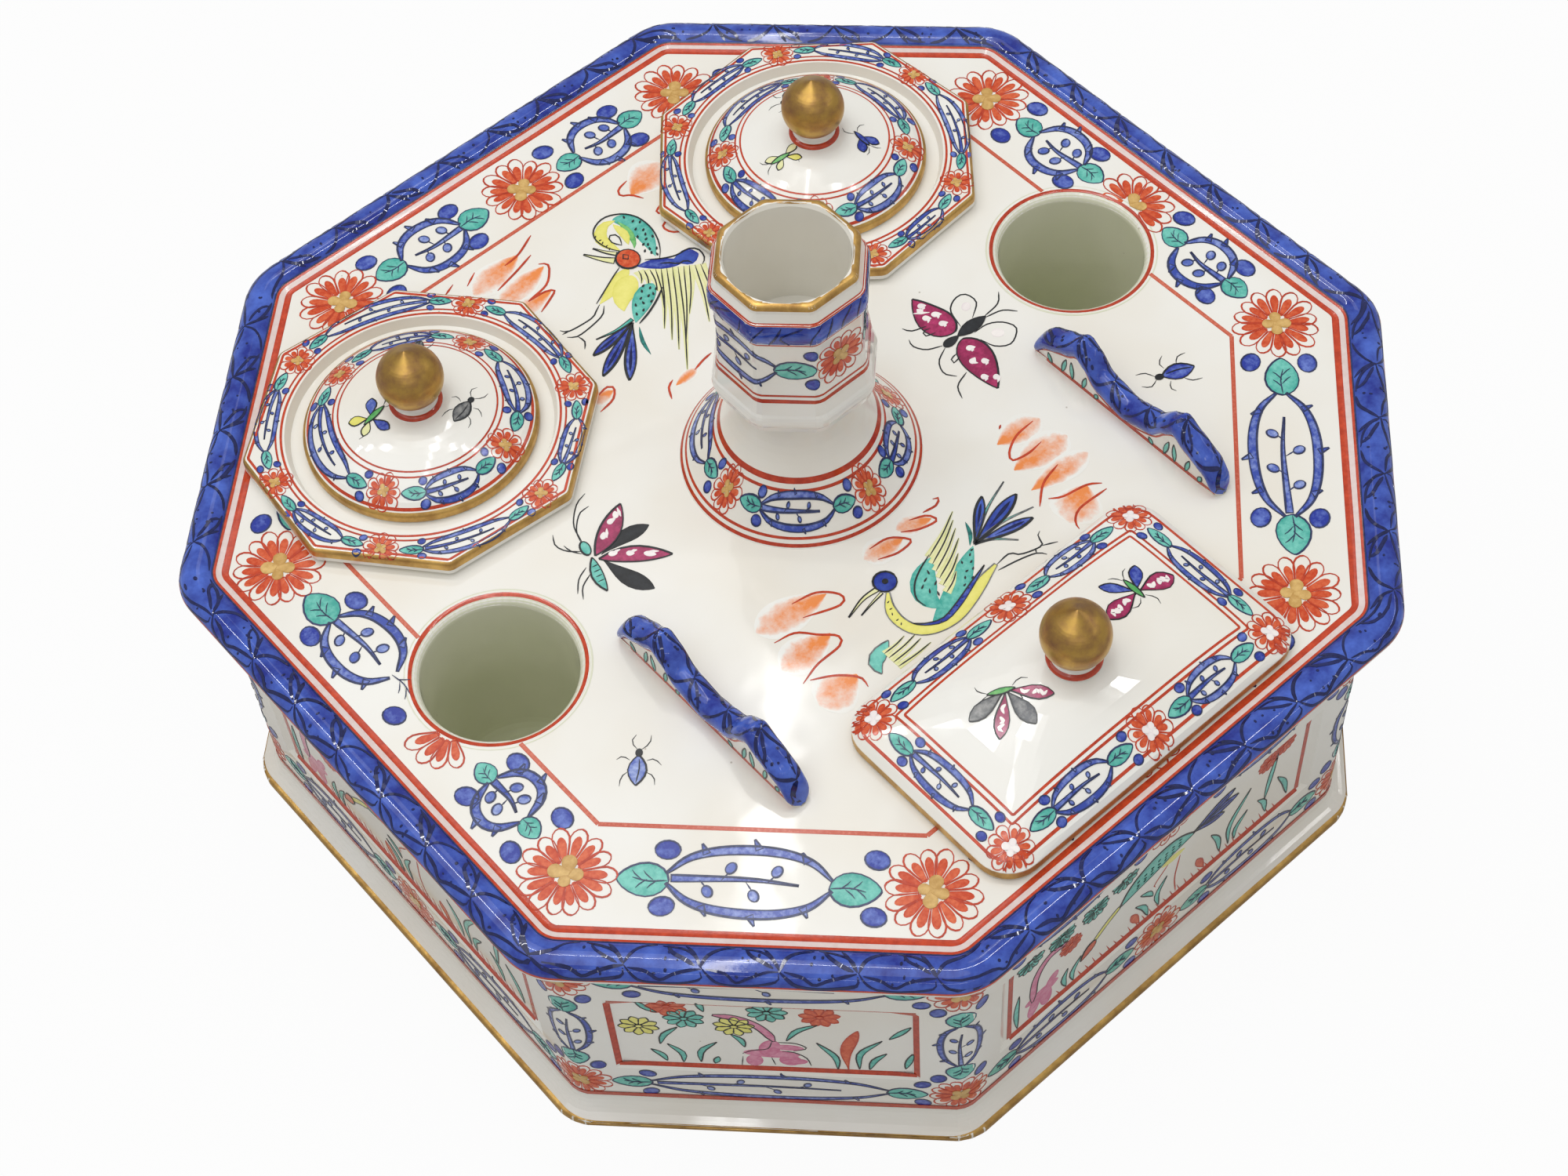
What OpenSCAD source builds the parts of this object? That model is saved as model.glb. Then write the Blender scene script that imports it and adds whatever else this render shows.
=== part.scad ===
// Porcelain desk inkstand: an eight-sided casing with a decked top that carries
// a candlestick, two pen wells, two pen rests, two lift-out inkwells with
// lids, and a lidded box. Origin at the centre of the base, +Z up, the box
// to the front (-Y). All sizes are in millimetres.

/* [Casing] */
// Half the width of the deck inside its rim, across the long sides
deck_half = 105; // [98:1:125]
// How far each corner of the square plan is cut back along its sides
deck_cut = 53; // [46:1:58]
// Height of the deck above the table
deck_height = 73.5; // [68:0.5:100]
// Thickness of the deck slab
deck_thick = 5; // [4:0.5:7]
// Radius of the plan's corners at the edge of the deck
corner_round = 3.4; // [3.2:0.2:8]
// How far the face of the wall stands outside the edge of the deck
wall_out = 3.2; // [2.5:0.1:5]
// Thickness of the wall
wall_thick = 6; // [4:0.2:6.2]
// How far the top of the wall swells out to meet the rim
wall_flare = 1.4; // [0.5:0.1:2]
// Height of that swelling
wall_flare_height = 11; // [6:1:14]
// Depth of the sunk panel in each side
panel_depth = 0.8; // [0.4:0.1:1.5]
// Height of the panels
panel_height = 30; // [20:1:34]
// Height of the panels' lower edge above the table
panel_bottom = 19.5; // [12:0.5:24]
// Plain width left between a panel and the corner of the casing
panel_margin = 9; // [6:0.5:14]

/* [Foot] */
// Height of the spreading foot under the wall
foot_height = 6.5; // [5:0.5:10]
// How far the foot stands outside the edge of the deck
foot_out = 7.3; // [5.5:0.1:10]
// Height of the foot's upright edge
foot_edge = 2.3; // [1.5:0.1:4]

/* [Rim] */
// How far the rolled rim stands outside the edge of the deck
rim_out = 9.6; // [8:0.1:12]
// Height of the roll above the deck
rim_crest = 1.8; // [1:0.1:3]
// Width of the plain hollow band between the deck and the roll
rim_band = 1.9; // [1:0.1:3]
// Height of the roll from its underside to its crest
rim_roll = 6.4; // [5:0.1:6.6]

/* [Candlestick] */
// Distance of the candlestick in front of the centre of the deck
candle_front = 2.4; // [0:0.1:8]
// Radius of the candle's bore
candle_bore_r = 12.15; // [9:0.05:12.6]
// Depth of the bore
candle_bore_depth = 27; // [15:1:32]
// Radius of the round foot where it meets the deck
candle_foot_r = 25; // [20:0.2:28]
// Radius of the stem under the socket
candle_stem_r = 11; // [8:0.5:12]
// Height of the foot and stem under the socket
candle_stem_height = 24.6; // [18:0.2:40]
// Height of the socket
socket_height = 36.8; // [36:0.2:50]
// Width of the socket's waist across its flats
socket_waist = 28.2; // [27.4:0.2:32]
// How far the socket's upper roll stands out from the waist
socket_roll = 1.1; // [0.5:0.1:2]
// How far the socket's lower swelling stands out from the waist
socket_swell = 1.9; // [1:0.1:3]
// Thickness of the hollow foot's clay
candle_foot_wall = 4.2; // [3:0.2:5]
// Radius of the air hole through the deck under the foot
air_hole_r = 9; // [3:0.5:12]

/* [Pen wells] */
// Distance from the side edge of the deck to the middle of each well
cup_edge = 27; // [25:0.5:31]
// Distance of the wells in front of the centre of the deck
cup_front = 2; // [0:0.5:8]
// Radius of a well's bore
cup_bore_r = 15.7; // [10:0.1:17]
// Depth of a well
cup_depth = 52; // [30:1:60]
// Thickness of a well's wall and bottom
cup_wall = 2.8; // [2.4:0.1:4]
// Radius of the rounding at a well's mouth
cup_lip = 2.2; // [1:0.1:2.4]
// Radius of the rounding at the bottom of a well
cup_bottom_round = 8; // [3:0.5:9]

/* [Inkwells] */
// Distance from the side edge of the deck to the middle of each inkwell
ink_edge_side = 50.7; // [49:0.1:54]
// Distance from the back edge of the deck to the middle of each inkwell
ink_edge_back = 50.8; // [49:0.1:54]
// Width of the plate across its flats
plate_flats = 68.8; // [66:0.2:74]
// Thickness of the plate
plate_thick = 4.2; // [3.4:0.1:6]
// Width of the bevel under the plate's edge, which clears the foot of the rim
plate_bevel = 1.4; // [1.2:0.1:3]
// Radius of the sunk seat for the lid
seat_r = 28.2; // [26:0.1:30]
// Depth of the sunk seat
seat_depth = 2.2; // [1.2:0.1:2.6]
// Angle that the left plate lies turned from square
plate_turn_left = -5.2; // [-45:0.1:45]
// Angle that the right plate lies turned from square
plate_turn_right = 4.6; // [-45:0.1:45]
// Radius of the pot's mouth
pot_mouth_r = 19; // [14:0.2:20]
// Thickness of the pot's wall
pot_wall = 3.6; // [2.5:0.1:4.5]
// Depth of the pot under the plate
pot_depth = 42; // [25:1:60]
// How much narrower the pot is at its bottom, on the radius
pot_taper = 2.4; // [0:0.2:5]
// Gap all round between the pot and its hole in the deck
pot_gap = 1; // [0.5:0.1:2]

/* [Inkwell lids] */
// Radius of a lid
lid_r = 24.4; // [22.5:0.1:25]
// Thickness of a lid's edge
lid_edge = 2.7; // [2:0.1:4]
// Rise of the dome above the edge
lid_rise = 6.2; // [3:0.1:9]
// Thickness of the domes of all the lids
lid_thick = 3.4; // [2.5:0.1:3.8]
// Depth of the locating collar under a lid
collar_depth = 4.4; // [3:0.1:8]
// Thickness of the collar
collar_wall = 2.6; // [2:0.1:3.5]
// Gap all round between a collar and what it drops into
collar_gap = 0.7; // [0.4:0.1:1]

/* [Knobs] */
// Diameter of a knob
knob_d = 13.7; // [10:0.1:16]
// Angle from the knob's equator at which its ball turns into its point
knob_point = 55; // [45:1:70]
// Diameter of the neck under a knob
neck_d = 8.6; // [6:0.1:9.5]
// Height of the neck
neck_height = 2.6; // [2:0.1:5]
// Diameter of the ring at the bottom of the neck
neck_ring_d = 11; // [9.6:0.1:13]

/* [Box] */
// Distance from the front edge of the deck to the middle of the box
box_edge = 24.2; // [24:0.1:26]
// Inside width of the box, along the front of the casing
box_width = 67; // [50:1:72]
// Inside length of the box, from front to back
box_length = 34; // [25:1:34]
// Inside depth of the box under the deck
box_depth = 34; // [20:1:50]
// Thickness of the box's walls and bottom
box_wall = 3.2; // [2.5:0.1:4]
// Radius of the inside corners of the box
box_round = 5; // [2:0.5:10]
// How far the lid reaches past the opening on every side
box_lid_over = 6.3; // [3:0.1:7.5]
// Radius of the lid's corners
box_lid_round = 7.3; // [4:0.1:12]
// Thickness of the lid's edge
box_lid_edge = 3.5; // [2:0.1:5]
// Rise of the lid's crown above its edge
box_lid_rise = 7.6; // [4:0.1:10]

/* [Pen rests] */
// Distance from the side edge of the deck to each rest
rest_edge_side = 50.5; // [48:0.1:55]
// Distance from the front edge of the deck to the middle of each rest
rest_edge_front = 64.6; // [60:0.1:69]
// How much further back the left rest stands than the right one
rest_stagger = 4; // [0:0.5:8]
// Length of a rest
rest_length = 53; // [40:1:60]
// Thickness of a rest's upright
rest_thick = 3.8; // [3:0.1:5]
// Diameter of the roll along the top of a rest
rest_roll = 5.6; // [5.2:0.1:7]
// Height of a rest at its two peaks
rest_peak = 13.4; // [10:0.1:20]
// Height of a rest at its middle, where the pen lies
rest_dip = 5.9; // [5.7:0.1:9]
// Height of a rest at its shoulders, outside the peaks
rest_shoulder = 8.6; // [7:0.1:12]

/* [Hidden] */
$fn = 64;
PORCELAIN = [0.93, 0.92, 0.88];
COBALT = [0.13, 0.20, 0.60];
GILT = [0.72, 0.53, 0.20];
LEFT = -1;
RIGHT = 1;

// Share of an offset by which the cut corner of an octagon grows
CUT_SHARE = 2 - sqrt(2);
// Number of turns in which a rounded corner of an octagon goes from side to side
CORNER_FACETS = 3;
deck_under = deck_height - deck_thick;
wall_in = wall_out - wall_thick;
candle_y = -candle_front;
cup_x = deck_half - cup_edge;
cup_y = -cup_front;
cup_r = cup_bore_r + cup_wall;
ink_x = deck_half - ink_edge_side;
ink_y = deck_half - ink_edge_back;
pot_r = pot_mouth_r + pot_wall;
pot_hole_r = pot_r + pot_gap;
seat_z = deck_height + plate_thick - seat_depth;
lid_top_z = seat_z + lid_edge;
collar_r = pot_mouth_r - collar_gap;
socket_z = deck_height + candle_stem_height;
socket_top = socket_z + socket_height;
rest_x = deck_half - rest_edge_side;
rest_y = rest_edge_front - deck_half;
box_lid_width = box_width + 2 * box_lid_over;
box_lid_length = box_length + 2 * box_lid_over;
// Least width of plain deck between the box's lid and the rim
BOX_LID_GAP = 0.9;
box_y = max(box_edge, box_lid_length / 2 + BOX_LID_GAP) - deck_half;
box_lid_top_z = deck_height + box_lid_edge;
// Number of contours in the crown of the box's lid, and the thickness of one
dome_steps = 9;
slice = 0.02;

// Angle of the normal of side k of an octagon, counted from +X
function side_angle(k) = 45 * k;

// Corners of a square plan with its corners cut off, from the +X side round
function octagon(half, cut) = [
    for (k = [0:7])
        let (turn = 90 * floor(k / 2), y = (half - cut) * (k % 2 == 0 ? -1 : 1))
        [half * cos(turn) - y * sin(turn), half * sin(turn) + y * cos(turn)]
];

// The same corners drawn in by the radius that rounds them
function inset_octagon(half, cut, round) = octagon(half - round, cut - round * CUT_SHARE);

// Distance from the centre to side k of the casing's plan
function side_distance(k) = k % 2 == 0 ? deck_half : (2 * deck_half - deck_cut) / sqrt(2);

// Length of side k of the casing's plan, at a distance out from the deck's edge
function side_length(k, out) =
    let (half = deck_half + out, cut = deck_cut + out * CUT_SHARE)
    k % 2 == 0 ? 2 * (half - cut) : cut * sqrt(2);

// Points along an elliptical arc
function arc(centre, rx, ry, from, to, steps) = [
    for (i = [0:steps])
        let (a = from + (to - from) * i / steps)
        centre + [rx * cos(a), ry * sin(a)]
];

// Height of a dome at a share of the way in from its edge, as a share of its rise
function dome(share) = 1 - pow(1 - share, 2);

// How far an octagon with rounded corners reaches in a direction
function octagon_reach(centres, round, turn) =
    max([for (centre = centres) centre * [cos(turn), sin(turn)]]) + round;

// A solid octagon whose edge follows a profile, a list of points that give the distance
// out and the height from the bottom up. Each pair of opposite faces, and each pair of
// the facets that round the corners, is one long extrusion, and the solid is what lies in all.
module profiled_octagon(profile, half, cut, round) {
    centres = inset_octagon(half, cut, round);
    intersection_for (facet = [0:4 * CORNER_FACETS - 1]) {
        turn = 45 * facet / CORNER_FACETS;
        width = octagon_reach(centres, round, turn);
        rotate(turn)
            rotate([90, 0, 0])
                linear_extrude(4 * half, center = true)
                    polygon(concat(
                        [for (point = profile) [width + point.x, point.y]],
                        [for (i = [len(profile) - 1:-1:0]) [-width - profile[i].x, profile[i].y]]
                    ));
    }
}

// Plan of an octagon with rounded corners
module octagon_plan(half, cut, round) {
    centres = inset_octagon(half, cut, round);
    polygon([
        for (k = [0:7], turn = [side_angle(k - 1), side_angle(k)])
            centres[k] + round * [cos(turn), sin(turn)]
    ]);
    for (centre = centres)
        translate(centre)
            circle(round);
}

// Rectangle with rounded corners
module round_rect(width, length, round) {
    square([width - 2 * round, length], center = true);
    square([width, length - 2 * round], center = true);
    for (x = [-1, 1], y = [-1, 1])
        translate([x * (width / 2 - round), y * (length / 2 - round)])
            circle(round);
}

// ---- Casing ----

// A band of the casing, filled to its middle. Its profile counts from the deck's edge.
module casing_band(profile) {
    profiled_octagon(profile, deck_half, deck_cut, corner_round);
}

// The space inside the wall, cut clear between two heights
module casing_hollow(low, high) {
    translate([0, 0, low - 1])
        linear_extrude(high - low + 2)
            octagon_plan(deck_half + wall_in, deck_cut + wall_in * CUT_SHARE, corner_round + wall_in);
}

module foot() {
    hollow_w = foot_out - wall_out;
    hollow_h = foot_height - foot_edge;
    nose = 0.5;
    color(PORCELAIN)
        difference() {
            casing_band(concat(
                arc([foot_out - nose, nose], nose, nose, -90, 0, 3),
                arc([foot_out - nose, foot_edge - nose], nose, nose, 0, 90, 3),
                arc([foot_out, foot_height], hollow_w, hollow_h, 255, 180, 6)
            ));
            casing_hollow(0, foot_height);
        }
}

// Cutter for one sunk panel, with sloping sides, standing at x = 0 and facing +X
module panel_cutter(width) {
    clear = wall_flare + 3;
    slope = 2 * panel_depth;
    side = [
        [-panel_depth, -width / 2 + slope], [0, -width / 2], [clear, -width / 2],
        [clear, width / 2], [0, width / 2], [-panel_depth, width / 2 - slope]
    ];
    upright = [
        [-panel_depth, slope], [0, 0], [clear, 0],
        [clear, panel_height], [0, panel_height], [-panel_depth, panel_height - slope]
    ];
    intersection() {
        linear_extrude(panel_height)
            polygon(side);
        translate([0, width / 2, 0])
            rotate([90, 0, 0])
                linear_extrude(width)
                    polygon(upright);
    }
}

module casing_wall() {
    color(PORCELAIN)
        difference() {
            casing_band(concat(
                [[wall_out, foot_height]],
                arc([wall_out + wall_flare, deck_under - wall_flare_height],
                    wall_flare, wall_flare_height, 180, 90, 5)
            ));
            casing_hollow(foot_height, deck_under);
            for (k = [0:7])
                rotate(side_angle(k))
                    translate([side_distance(k) + wall_out, 0, panel_bottom])
                        panel_cutter(side_length(k, wall_out) - 2 * panel_margin);
        }
}

module deck() {
    color(PORCELAIN)
        translate([0, 0, deck_under])
            linear_extrude(deck_thick)
                difference() {
                    octagon_plan(deck_half, deck_cut, corner_round);
                    for (side = [LEFT, RIGHT]) {
                        translate([side * cup_x, cup_y])
                            circle(cup_r);
                        translate([side * ink_x, ink_y])
                            circle(pot_hole_r);
                    }
                    translate([0, candle_y])
                        circle(air_hole_r);
                    translate([0, box_y])
                        round_rect(box_width, box_length, box_round);
                }
}

module rim() {
    roll_w = (rim_out - rim_band) / 2;
    roll_h = rim_roll / 2;
    roll = [rim_band + roll_w, rim_crest - roll_h];
    band_rise = 0.5;
    band_end = 180 - asin((band_rise - roll.y) / roll_h);
    color(COBALT)
        translate([0, 0, deck_height])
            difference() {
                casing_band(concat(
                    [[wall_out + wall_flare, -deck_thick]],
                    arc(roll, roll_w, roll_h, -90, 90, 12)
                ));
                casing_band(concat(
                    [[0, -deck_thick - 1], [0, 0], [rim_band * 0.6, band_rise * 0.4]],
                    arc(roll, roll_w, roll_h, band_end, 90, 5),
                    [[roll.x, rim_crest + 1]]
                ));
            }
}

// ---- Candlestick ----

// Radius of the candlestick's foot at a height above the deck
function candle_foot_radius(z) =
    candle_stem_r + (candle_foot_r - candle_stem_r) * pow(1 - z / candle_stem_height, 1.64);

module candle_foot() {
    steps = 14;
    hollow_top = candle_stem_height - 2 * candle_foot_wall;
    heights = [for (i = [0:steps]) candle_stem_height * i / steps];
    inside = [
        for (i = [steps:-1:0])
            let (z = hollow_top * i / steps)
            [max(candle_foot_radius(z) - candle_foot_wall, 1), z]
    ];
    color(PORCELAIN)
        translate([0, candle_y, deck_height])
            rotate_extrude()
                polygon(concat(
                    [for (z = heights) [candle_foot_radius(z), z]],
                    [[0, candle_stem_height], [0, hollow_top]],
                    inside
                ));
}

// Outline of the socket: distance out from the waist's flats, and height
function socket_profile() =
    let (
        lip_in = 0.7,
        roll_top = socket_height - 3.9,
        roll_low = socket_height - 9.9,
        lines_z = 10.2,
        swell_z = 5.2,
        roll_mid = (roll_top + roll_low) / 2,
        roll_half = (roll_top - roll_low) / 2
    )
    concat(
        [[-1.2, 0], [socket_swell * 0.55, 1.2]],
        arc([socket_swell - 2.4, swell_z - 0.6], 2.4, 3.1, -42, 40, 6),
        [[0.75, lines_z], [0.15, lines_z + 5], [0, (lines_z + roll_low) / 2 + 2], [0.3, roll_low]],
        arc([0.3, roll_mid], socket_roll - 0.3, roll_half, -78, 78, 8),
        [[0.2, roll_top], [-lip_in + 0.2, socket_height - 2]],
        arc([-lip_in - 0.7, socket_height - 1], 0.9, 1, 0, 90, 5)
    );

module candle_socket() {
    waist = socket_waist / 2;
    round = 3;
    cut = waist * CUT_SHARE;
    lip = 0.9;
    color(PORCELAIN)
        translate([0, candle_y, socket_z])
            difference() {
                profiled_octagon(socket_profile(), waist, cut, round);
                translate([0, 0, socket_height - candle_bore_depth])
                    cylinder(h = candle_bore_depth + 1, r = candle_bore_r);
                translate([0, 0, socket_height - lip])
                    cylinder(h = 2 * lip, r1 = candle_bore_r, r2 = candle_bore_r + lip);
            }
}

// ---- Pen wells and pen rests ----

module pen_well(side) {
    bottom = cup_depth + cup_wall;
    round = cup_bottom_round;
    color(PORCELAIN)
        translate([side * cup_x, cup_y, deck_height])
            rotate_extrude()
                polygon(concat(
                    [[cup_r, 0]],
                    arc([cup_bore_r + cup_lip, -cup_lip], cup_lip, cup_lip, 90, 180, 6),
                    arc([cup_bore_r - round, round - cup_depth], round, round, 0, -90, 8),
                    [[0, -cup_depth], [0, -bottom]],
                    arc([cup_r - round, round - bottom], round, round, -90, 0, 8)
                ));
}

// Height of a rest's crest at a share of the way from its middle to its end
function rest_crest(share) =
    let (
        knots = [0, 0.28, 0.42, 0.52, 0.64, 0.84, 1],
        drop = rest_peak - rest_dip,
        heights = [
            rest_dip, rest_dip + 0.25 * drop, rest_dip + 0.75 * drop, rest_peak,
            rest_peak - 0.45 * (rest_peak - rest_shoulder), rest_shoulder, rest_roll * 0.7
        ],
        i = max([for (j = [0:len(knots) - 2]) knots[j] <= share ? j : 0]),
        part = (share - knots[i]) / (knots[i + 1] - knots[i]),
        smooth = (1 - cos(180 * part)) / 2,
        blend = 0.5 * (part + smooth)
    )
    heights[i] + (heights[i + 1] - heights[i]) * blend;

// Section of a rest: an upright with a roll along its top
function rest_section(y, height, scale_x) =
    let (
        r = rest_roll / 2,
        tall = min(r, height / 2.1),
        half = rest_thick / 2,
        meet = acos(half / r),
        points = concat(
            [[half, 0]],
            arc([0, height - tall], r, tall, -meet, 180 + meet, 10),
            [[-half, 0]]
        )
    )
    [for (point = points) [point.x * scale_x, y, point.y]];

module pen_rest(side) {
    stations = 56;
    end = 0.93;
    rings = [
        for (i = [0:stations])
            let (
                u = 2 * i / stations - 1,
                past = max(0, abs(u) - end) / (1 - end),
                shrink = sqrt(max(0.04, 1 - past * past))
            )
            rest_section(u * rest_length / 2, rest_crest(abs(u)) * shrink, shrink)
    ];
    n = len(rings[0]);
    faces = [
        for (i = [0:stations - 1], j = [0:n - 1])
            let (a = i * n + j, b = i * n + (j + 1) % n)
            each [[a, b, b + n], [a, b + n, a + n]]
    ];
    color(COBALT)
        translate([side * rest_x, rest_y - side * rest_stagger / 2, deck_height])
            polyhedron(
                points = [for (ring = rings) each ring],
                faces = concat(
                    faces,
                    [[for (j = [n - 1:-1:0]) j]],
                    [[for (j = [0:n - 1]) stations * n + j]]
                )
            );
}

// ---- Box ----

module box_well() {
    color(PORCELAIN)
        translate([0, box_y, deck_under - box_depth - box_wall])
            difference() {
                linear_extrude(box_depth + box_wall)
                    round_rect(box_width + 2 * box_wall, box_length + 2 * box_wall, box_round + box_wall);
                translate([0, 0, box_wall])
                    linear_extrude(box_depth + 1)
                        round_rect(box_width, box_length, box_round);
            }
}

// Points of an oval whose outline is the squarer, the higher its power
function squared_oval(half_w, half_l, power) = [
    for (turn = [0:8:352])
        let (x = cos(turn), y = sin(turn))
        [half_w * sign(x) * pow(abs(x), 2 / power), half_l * sign(y) * pow(abs(y), 2 / power)]
];

// Pillow-shaped solid: an upright edge round a rectangle, under a crown whose contours
// go from nearly square at the edge to an oval in the middle
module pillow(width, length, round, edge, rise) {
    ease = 0.6;
    hull() {
        linear_extrude(slice)
            round_rect(width - 2 * ease, length - 2 * ease, round - ease, $fn = 32);
        translate([0, 0, ease])
            linear_extrude(edge - 2 * ease)
                round_rect(width, length, round, $fn = 32);
        for (i = [1:dome_steps]) {
            share = pow(i / dome_steps, 1.5) * 0.94;
            left = 1 - share;
            translate([0, 0, edge + rise * dome(share) - slice])
                linear_extrude(slice)
                    polygon(squared_oval(left * width / 2, left * length / 2, 2.2 + 7 * pow(left, 3)));
        }
    }
}

module box_lid_cover() {
    hollow_w = box_width - 2 * collar_gap - 2 * collar_wall;
    hollow_l = box_length - 2 * collar_gap - 2 * collar_wall;
    color(PORCELAIN)
        translate([0, box_y, deck_height])
            difference() {
                pillow(box_lid_width, box_lid_length, box_lid_round, box_lid_edge, box_lid_rise);
                hull() {
                    translate([0, 0, -1])
                        linear_extrude(2)
                            round_rect(hollow_w, hollow_l, box_round - collar_wall + 1, $fn = 32);
                    translate([0, 0, box_lid_edge + box_lid_rise - lid_thick - slice])
                        linear_extrude(slice)
                            round_rect(hollow_w * 0.6, hollow_l * 0.35, 1, $fn = 32);
                }
            }
}

module box_lid_collar() {
    width = box_width - 2 * collar_gap;
    length = box_length - 2 * collar_gap;
    round = box_round - collar_gap;
    color(PORCELAIN)
        translate([0, box_y, deck_height - collar_depth])
            linear_extrude(collar_depth)
                difference() {
                    round_rect(width, length, round);
                    round_rect(width - 2 * collar_wall, length - 2 * collar_wall,
                               max(0.6, round - collar_wall));
                }
}

// ---- Inkwells and their lids ----

module ink_plate(side, turn) {
    half = plate_flats / 2;
    cut = half * CUT_SHARE;
    round = 2.5;
    ease = 0.9;
    seat_slope = 0.9;
    color(PORCELAIN)
        translate([side * ink_x, ink_y, deck_height])
            rotate(turn)
                difference() {
                    profiled_octagon(concat(
                        [[-plate_bevel, 0], [0, 0.75 * plate_bevel]],
                        arc([-ease, plate_thick - ease], ease, ease, 0, 90, 4)
                    ), half, cut, round);
                    translate([0, 0, -1])
                        cylinder(h = plate_thick + 2, r = pot_mouth_r);
                    translate([0, 0, plate_thick - seat_depth])
                        cylinder(h = seat_depth, r1 = seat_r - seat_slope, r2 = seat_r);
                    translate([0, 0, plate_thick])
                        cylinder(h = 1, r = seat_r);
                }
}

module ink_pot(side) {
    foot_r = pot_r - pot_taper;
    round = 5;
    inner_round = 6;
    floor_z = pot_wall - pot_depth;
    color(PORCELAIN)
        translate([side * ink_x, ink_y, deck_height])
            rotate_extrude()
                polygon(concat(
                    [[pot_r, 0], [pot_mouth_r, 0]],
                    [[pot_mouth_r, -collar_depth - 2]],
                    arc([foot_r - pot_wall - inner_round, floor_z + inner_round],
                        inner_round, inner_round, 0, -90, 6),
                    [[0, floor_z], [0, -pot_depth]],
                    arc([foot_r - round, round - pot_depth], round, round, -90, 0, 6)
                ));
}

module lid_cover(side) {
    ease = 0.8;
    steps = 12;
    hollow_r = collar_r - collar_wall;
    flat_r = neck_ring_d / 2;
    crown = lid_edge + lid_rise;
    color(PORCELAIN)
        translate([side * ink_x, ink_y, seat_z])
            rotate_extrude()
                polygon(concat(
                    [[hollow_r, 0], [lid_r - ease, 0]],
                    arc([lid_r - ease, ease], ease, ease, -90, 0, 3),
                    arc([lid_r - ease, lid_edge - ease], ease, ease, 0, 60, 3),
                    [
                        for (i = [1:steps])
                            let (r = lid_r - ease + (flat_r - lid_r + ease) * i / steps)
                            [r, lid_edge + lid_rise * dome((lid_r - r) / (lid_r - flat_r))]
                    ],
                    [[0, crown], [0, crown - lid_thick]],
                    [
                        for (i = [1:steps - 1])
                            let (share = i / steps, r = hollow_r * share)
                            [r, (crown - lid_thick) * (1 - pow(share, 2.6))]
                    ]
                ));
}

module lid_collar(side) {
    color(PORCELAIN)
        translate([side * ink_x, ink_y, seat_z - collar_depth])
            linear_extrude(collar_depth)
                difference() {
                    circle(collar_r);
                    circle(collar_r - collar_wall);
                }
}

// Knob: a neck with a ring at its foot, and a ball drawn out to a point
module knob() {
    ball_r = knob_d / 2;
    neck_r = neck_d / 2;
    ring_h = 1;
    low = asin(neck_r / ball_r);
    centre_z = neck_height + ball_r * cos(low);
    tip_z = centre_z + ball_r / sin(knob_point);
    rotate_extrude()
        polygon(concat(
            [[0, 0], [neck_ring_d / 2, 0]],
            arc([neck_ring_d / 2 - ring_h / 2, ring_h / 2], ring_h / 2, ring_h / 2, 0, 90, 3),
            [[neck_r, ring_h + 0.4]],
            arc([0, centre_z], ball_r, ball_r, low - 90, knob_point, 20),
            [[0.35, tip_z - 0.4], [0, tip_z - 0.2]]
        ));
}

module lid_knob(side) {
    color(GILT)
        translate([side * ink_x, ink_y, lid_top_z + lid_rise])
            knob();
}

module box_lid_knob() {
    color(GILT)
        translate([0, box_y, box_lid_top_z + box_lid_rise])
            knob();
}

foot();
casing_wall();
deck();
rim();
candle_foot();
candle_socket();
pen_well(LEFT);  // pen_well_left
pen_well(RIGHT);  // pen_well_right
pen_rest(LEFT);  // pen_rest_left
pen_rest(RIGHT);  // pen_rest_right
box_well();
ink_plate(LEFT, plate_turn_left);  // ink_plate_left
ink_pot(LEFT);  // ink_pot_left
ink_plate(RIGHT, plate_turn_right);  // ink_plate_right
ink_pot(RIGHT);  // ink_pot_right
lid_cover(LEFT);  // lid_cover_left
lid_collar(LEFT);  // lid_collar_left
lid_knob(LEFT);  // lid_knob_left
lid_cover(RIGHT);  // lid_cover_right
lid_collar(RIGHT);  // lid_collar_right
lid_knob(RIGHT);  // lid_knob_right
box_lid_cover();
box_lid_collar();
box_lid_knob();
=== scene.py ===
"""The look of a porcelain desk inkstand: its glaze, painted enamels and gilding."""
import math
import random

import bpy
from mathutils import Matrix, Quaternion, Vector
from mathutils.bvhtree import BVHTree


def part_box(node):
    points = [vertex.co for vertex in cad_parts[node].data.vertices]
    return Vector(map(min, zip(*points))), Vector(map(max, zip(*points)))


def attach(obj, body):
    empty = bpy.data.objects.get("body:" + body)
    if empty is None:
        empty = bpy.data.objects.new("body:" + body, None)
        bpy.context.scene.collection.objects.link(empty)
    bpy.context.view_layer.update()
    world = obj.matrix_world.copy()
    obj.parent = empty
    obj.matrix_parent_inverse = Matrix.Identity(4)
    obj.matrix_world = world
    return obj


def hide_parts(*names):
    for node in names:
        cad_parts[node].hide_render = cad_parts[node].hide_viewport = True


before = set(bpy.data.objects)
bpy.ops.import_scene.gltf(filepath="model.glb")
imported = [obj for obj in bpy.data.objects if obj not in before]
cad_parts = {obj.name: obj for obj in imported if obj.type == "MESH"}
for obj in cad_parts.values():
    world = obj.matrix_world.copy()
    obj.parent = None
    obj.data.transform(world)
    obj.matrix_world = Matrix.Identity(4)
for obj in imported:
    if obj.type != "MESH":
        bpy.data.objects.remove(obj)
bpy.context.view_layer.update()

MM = 0.001

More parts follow.
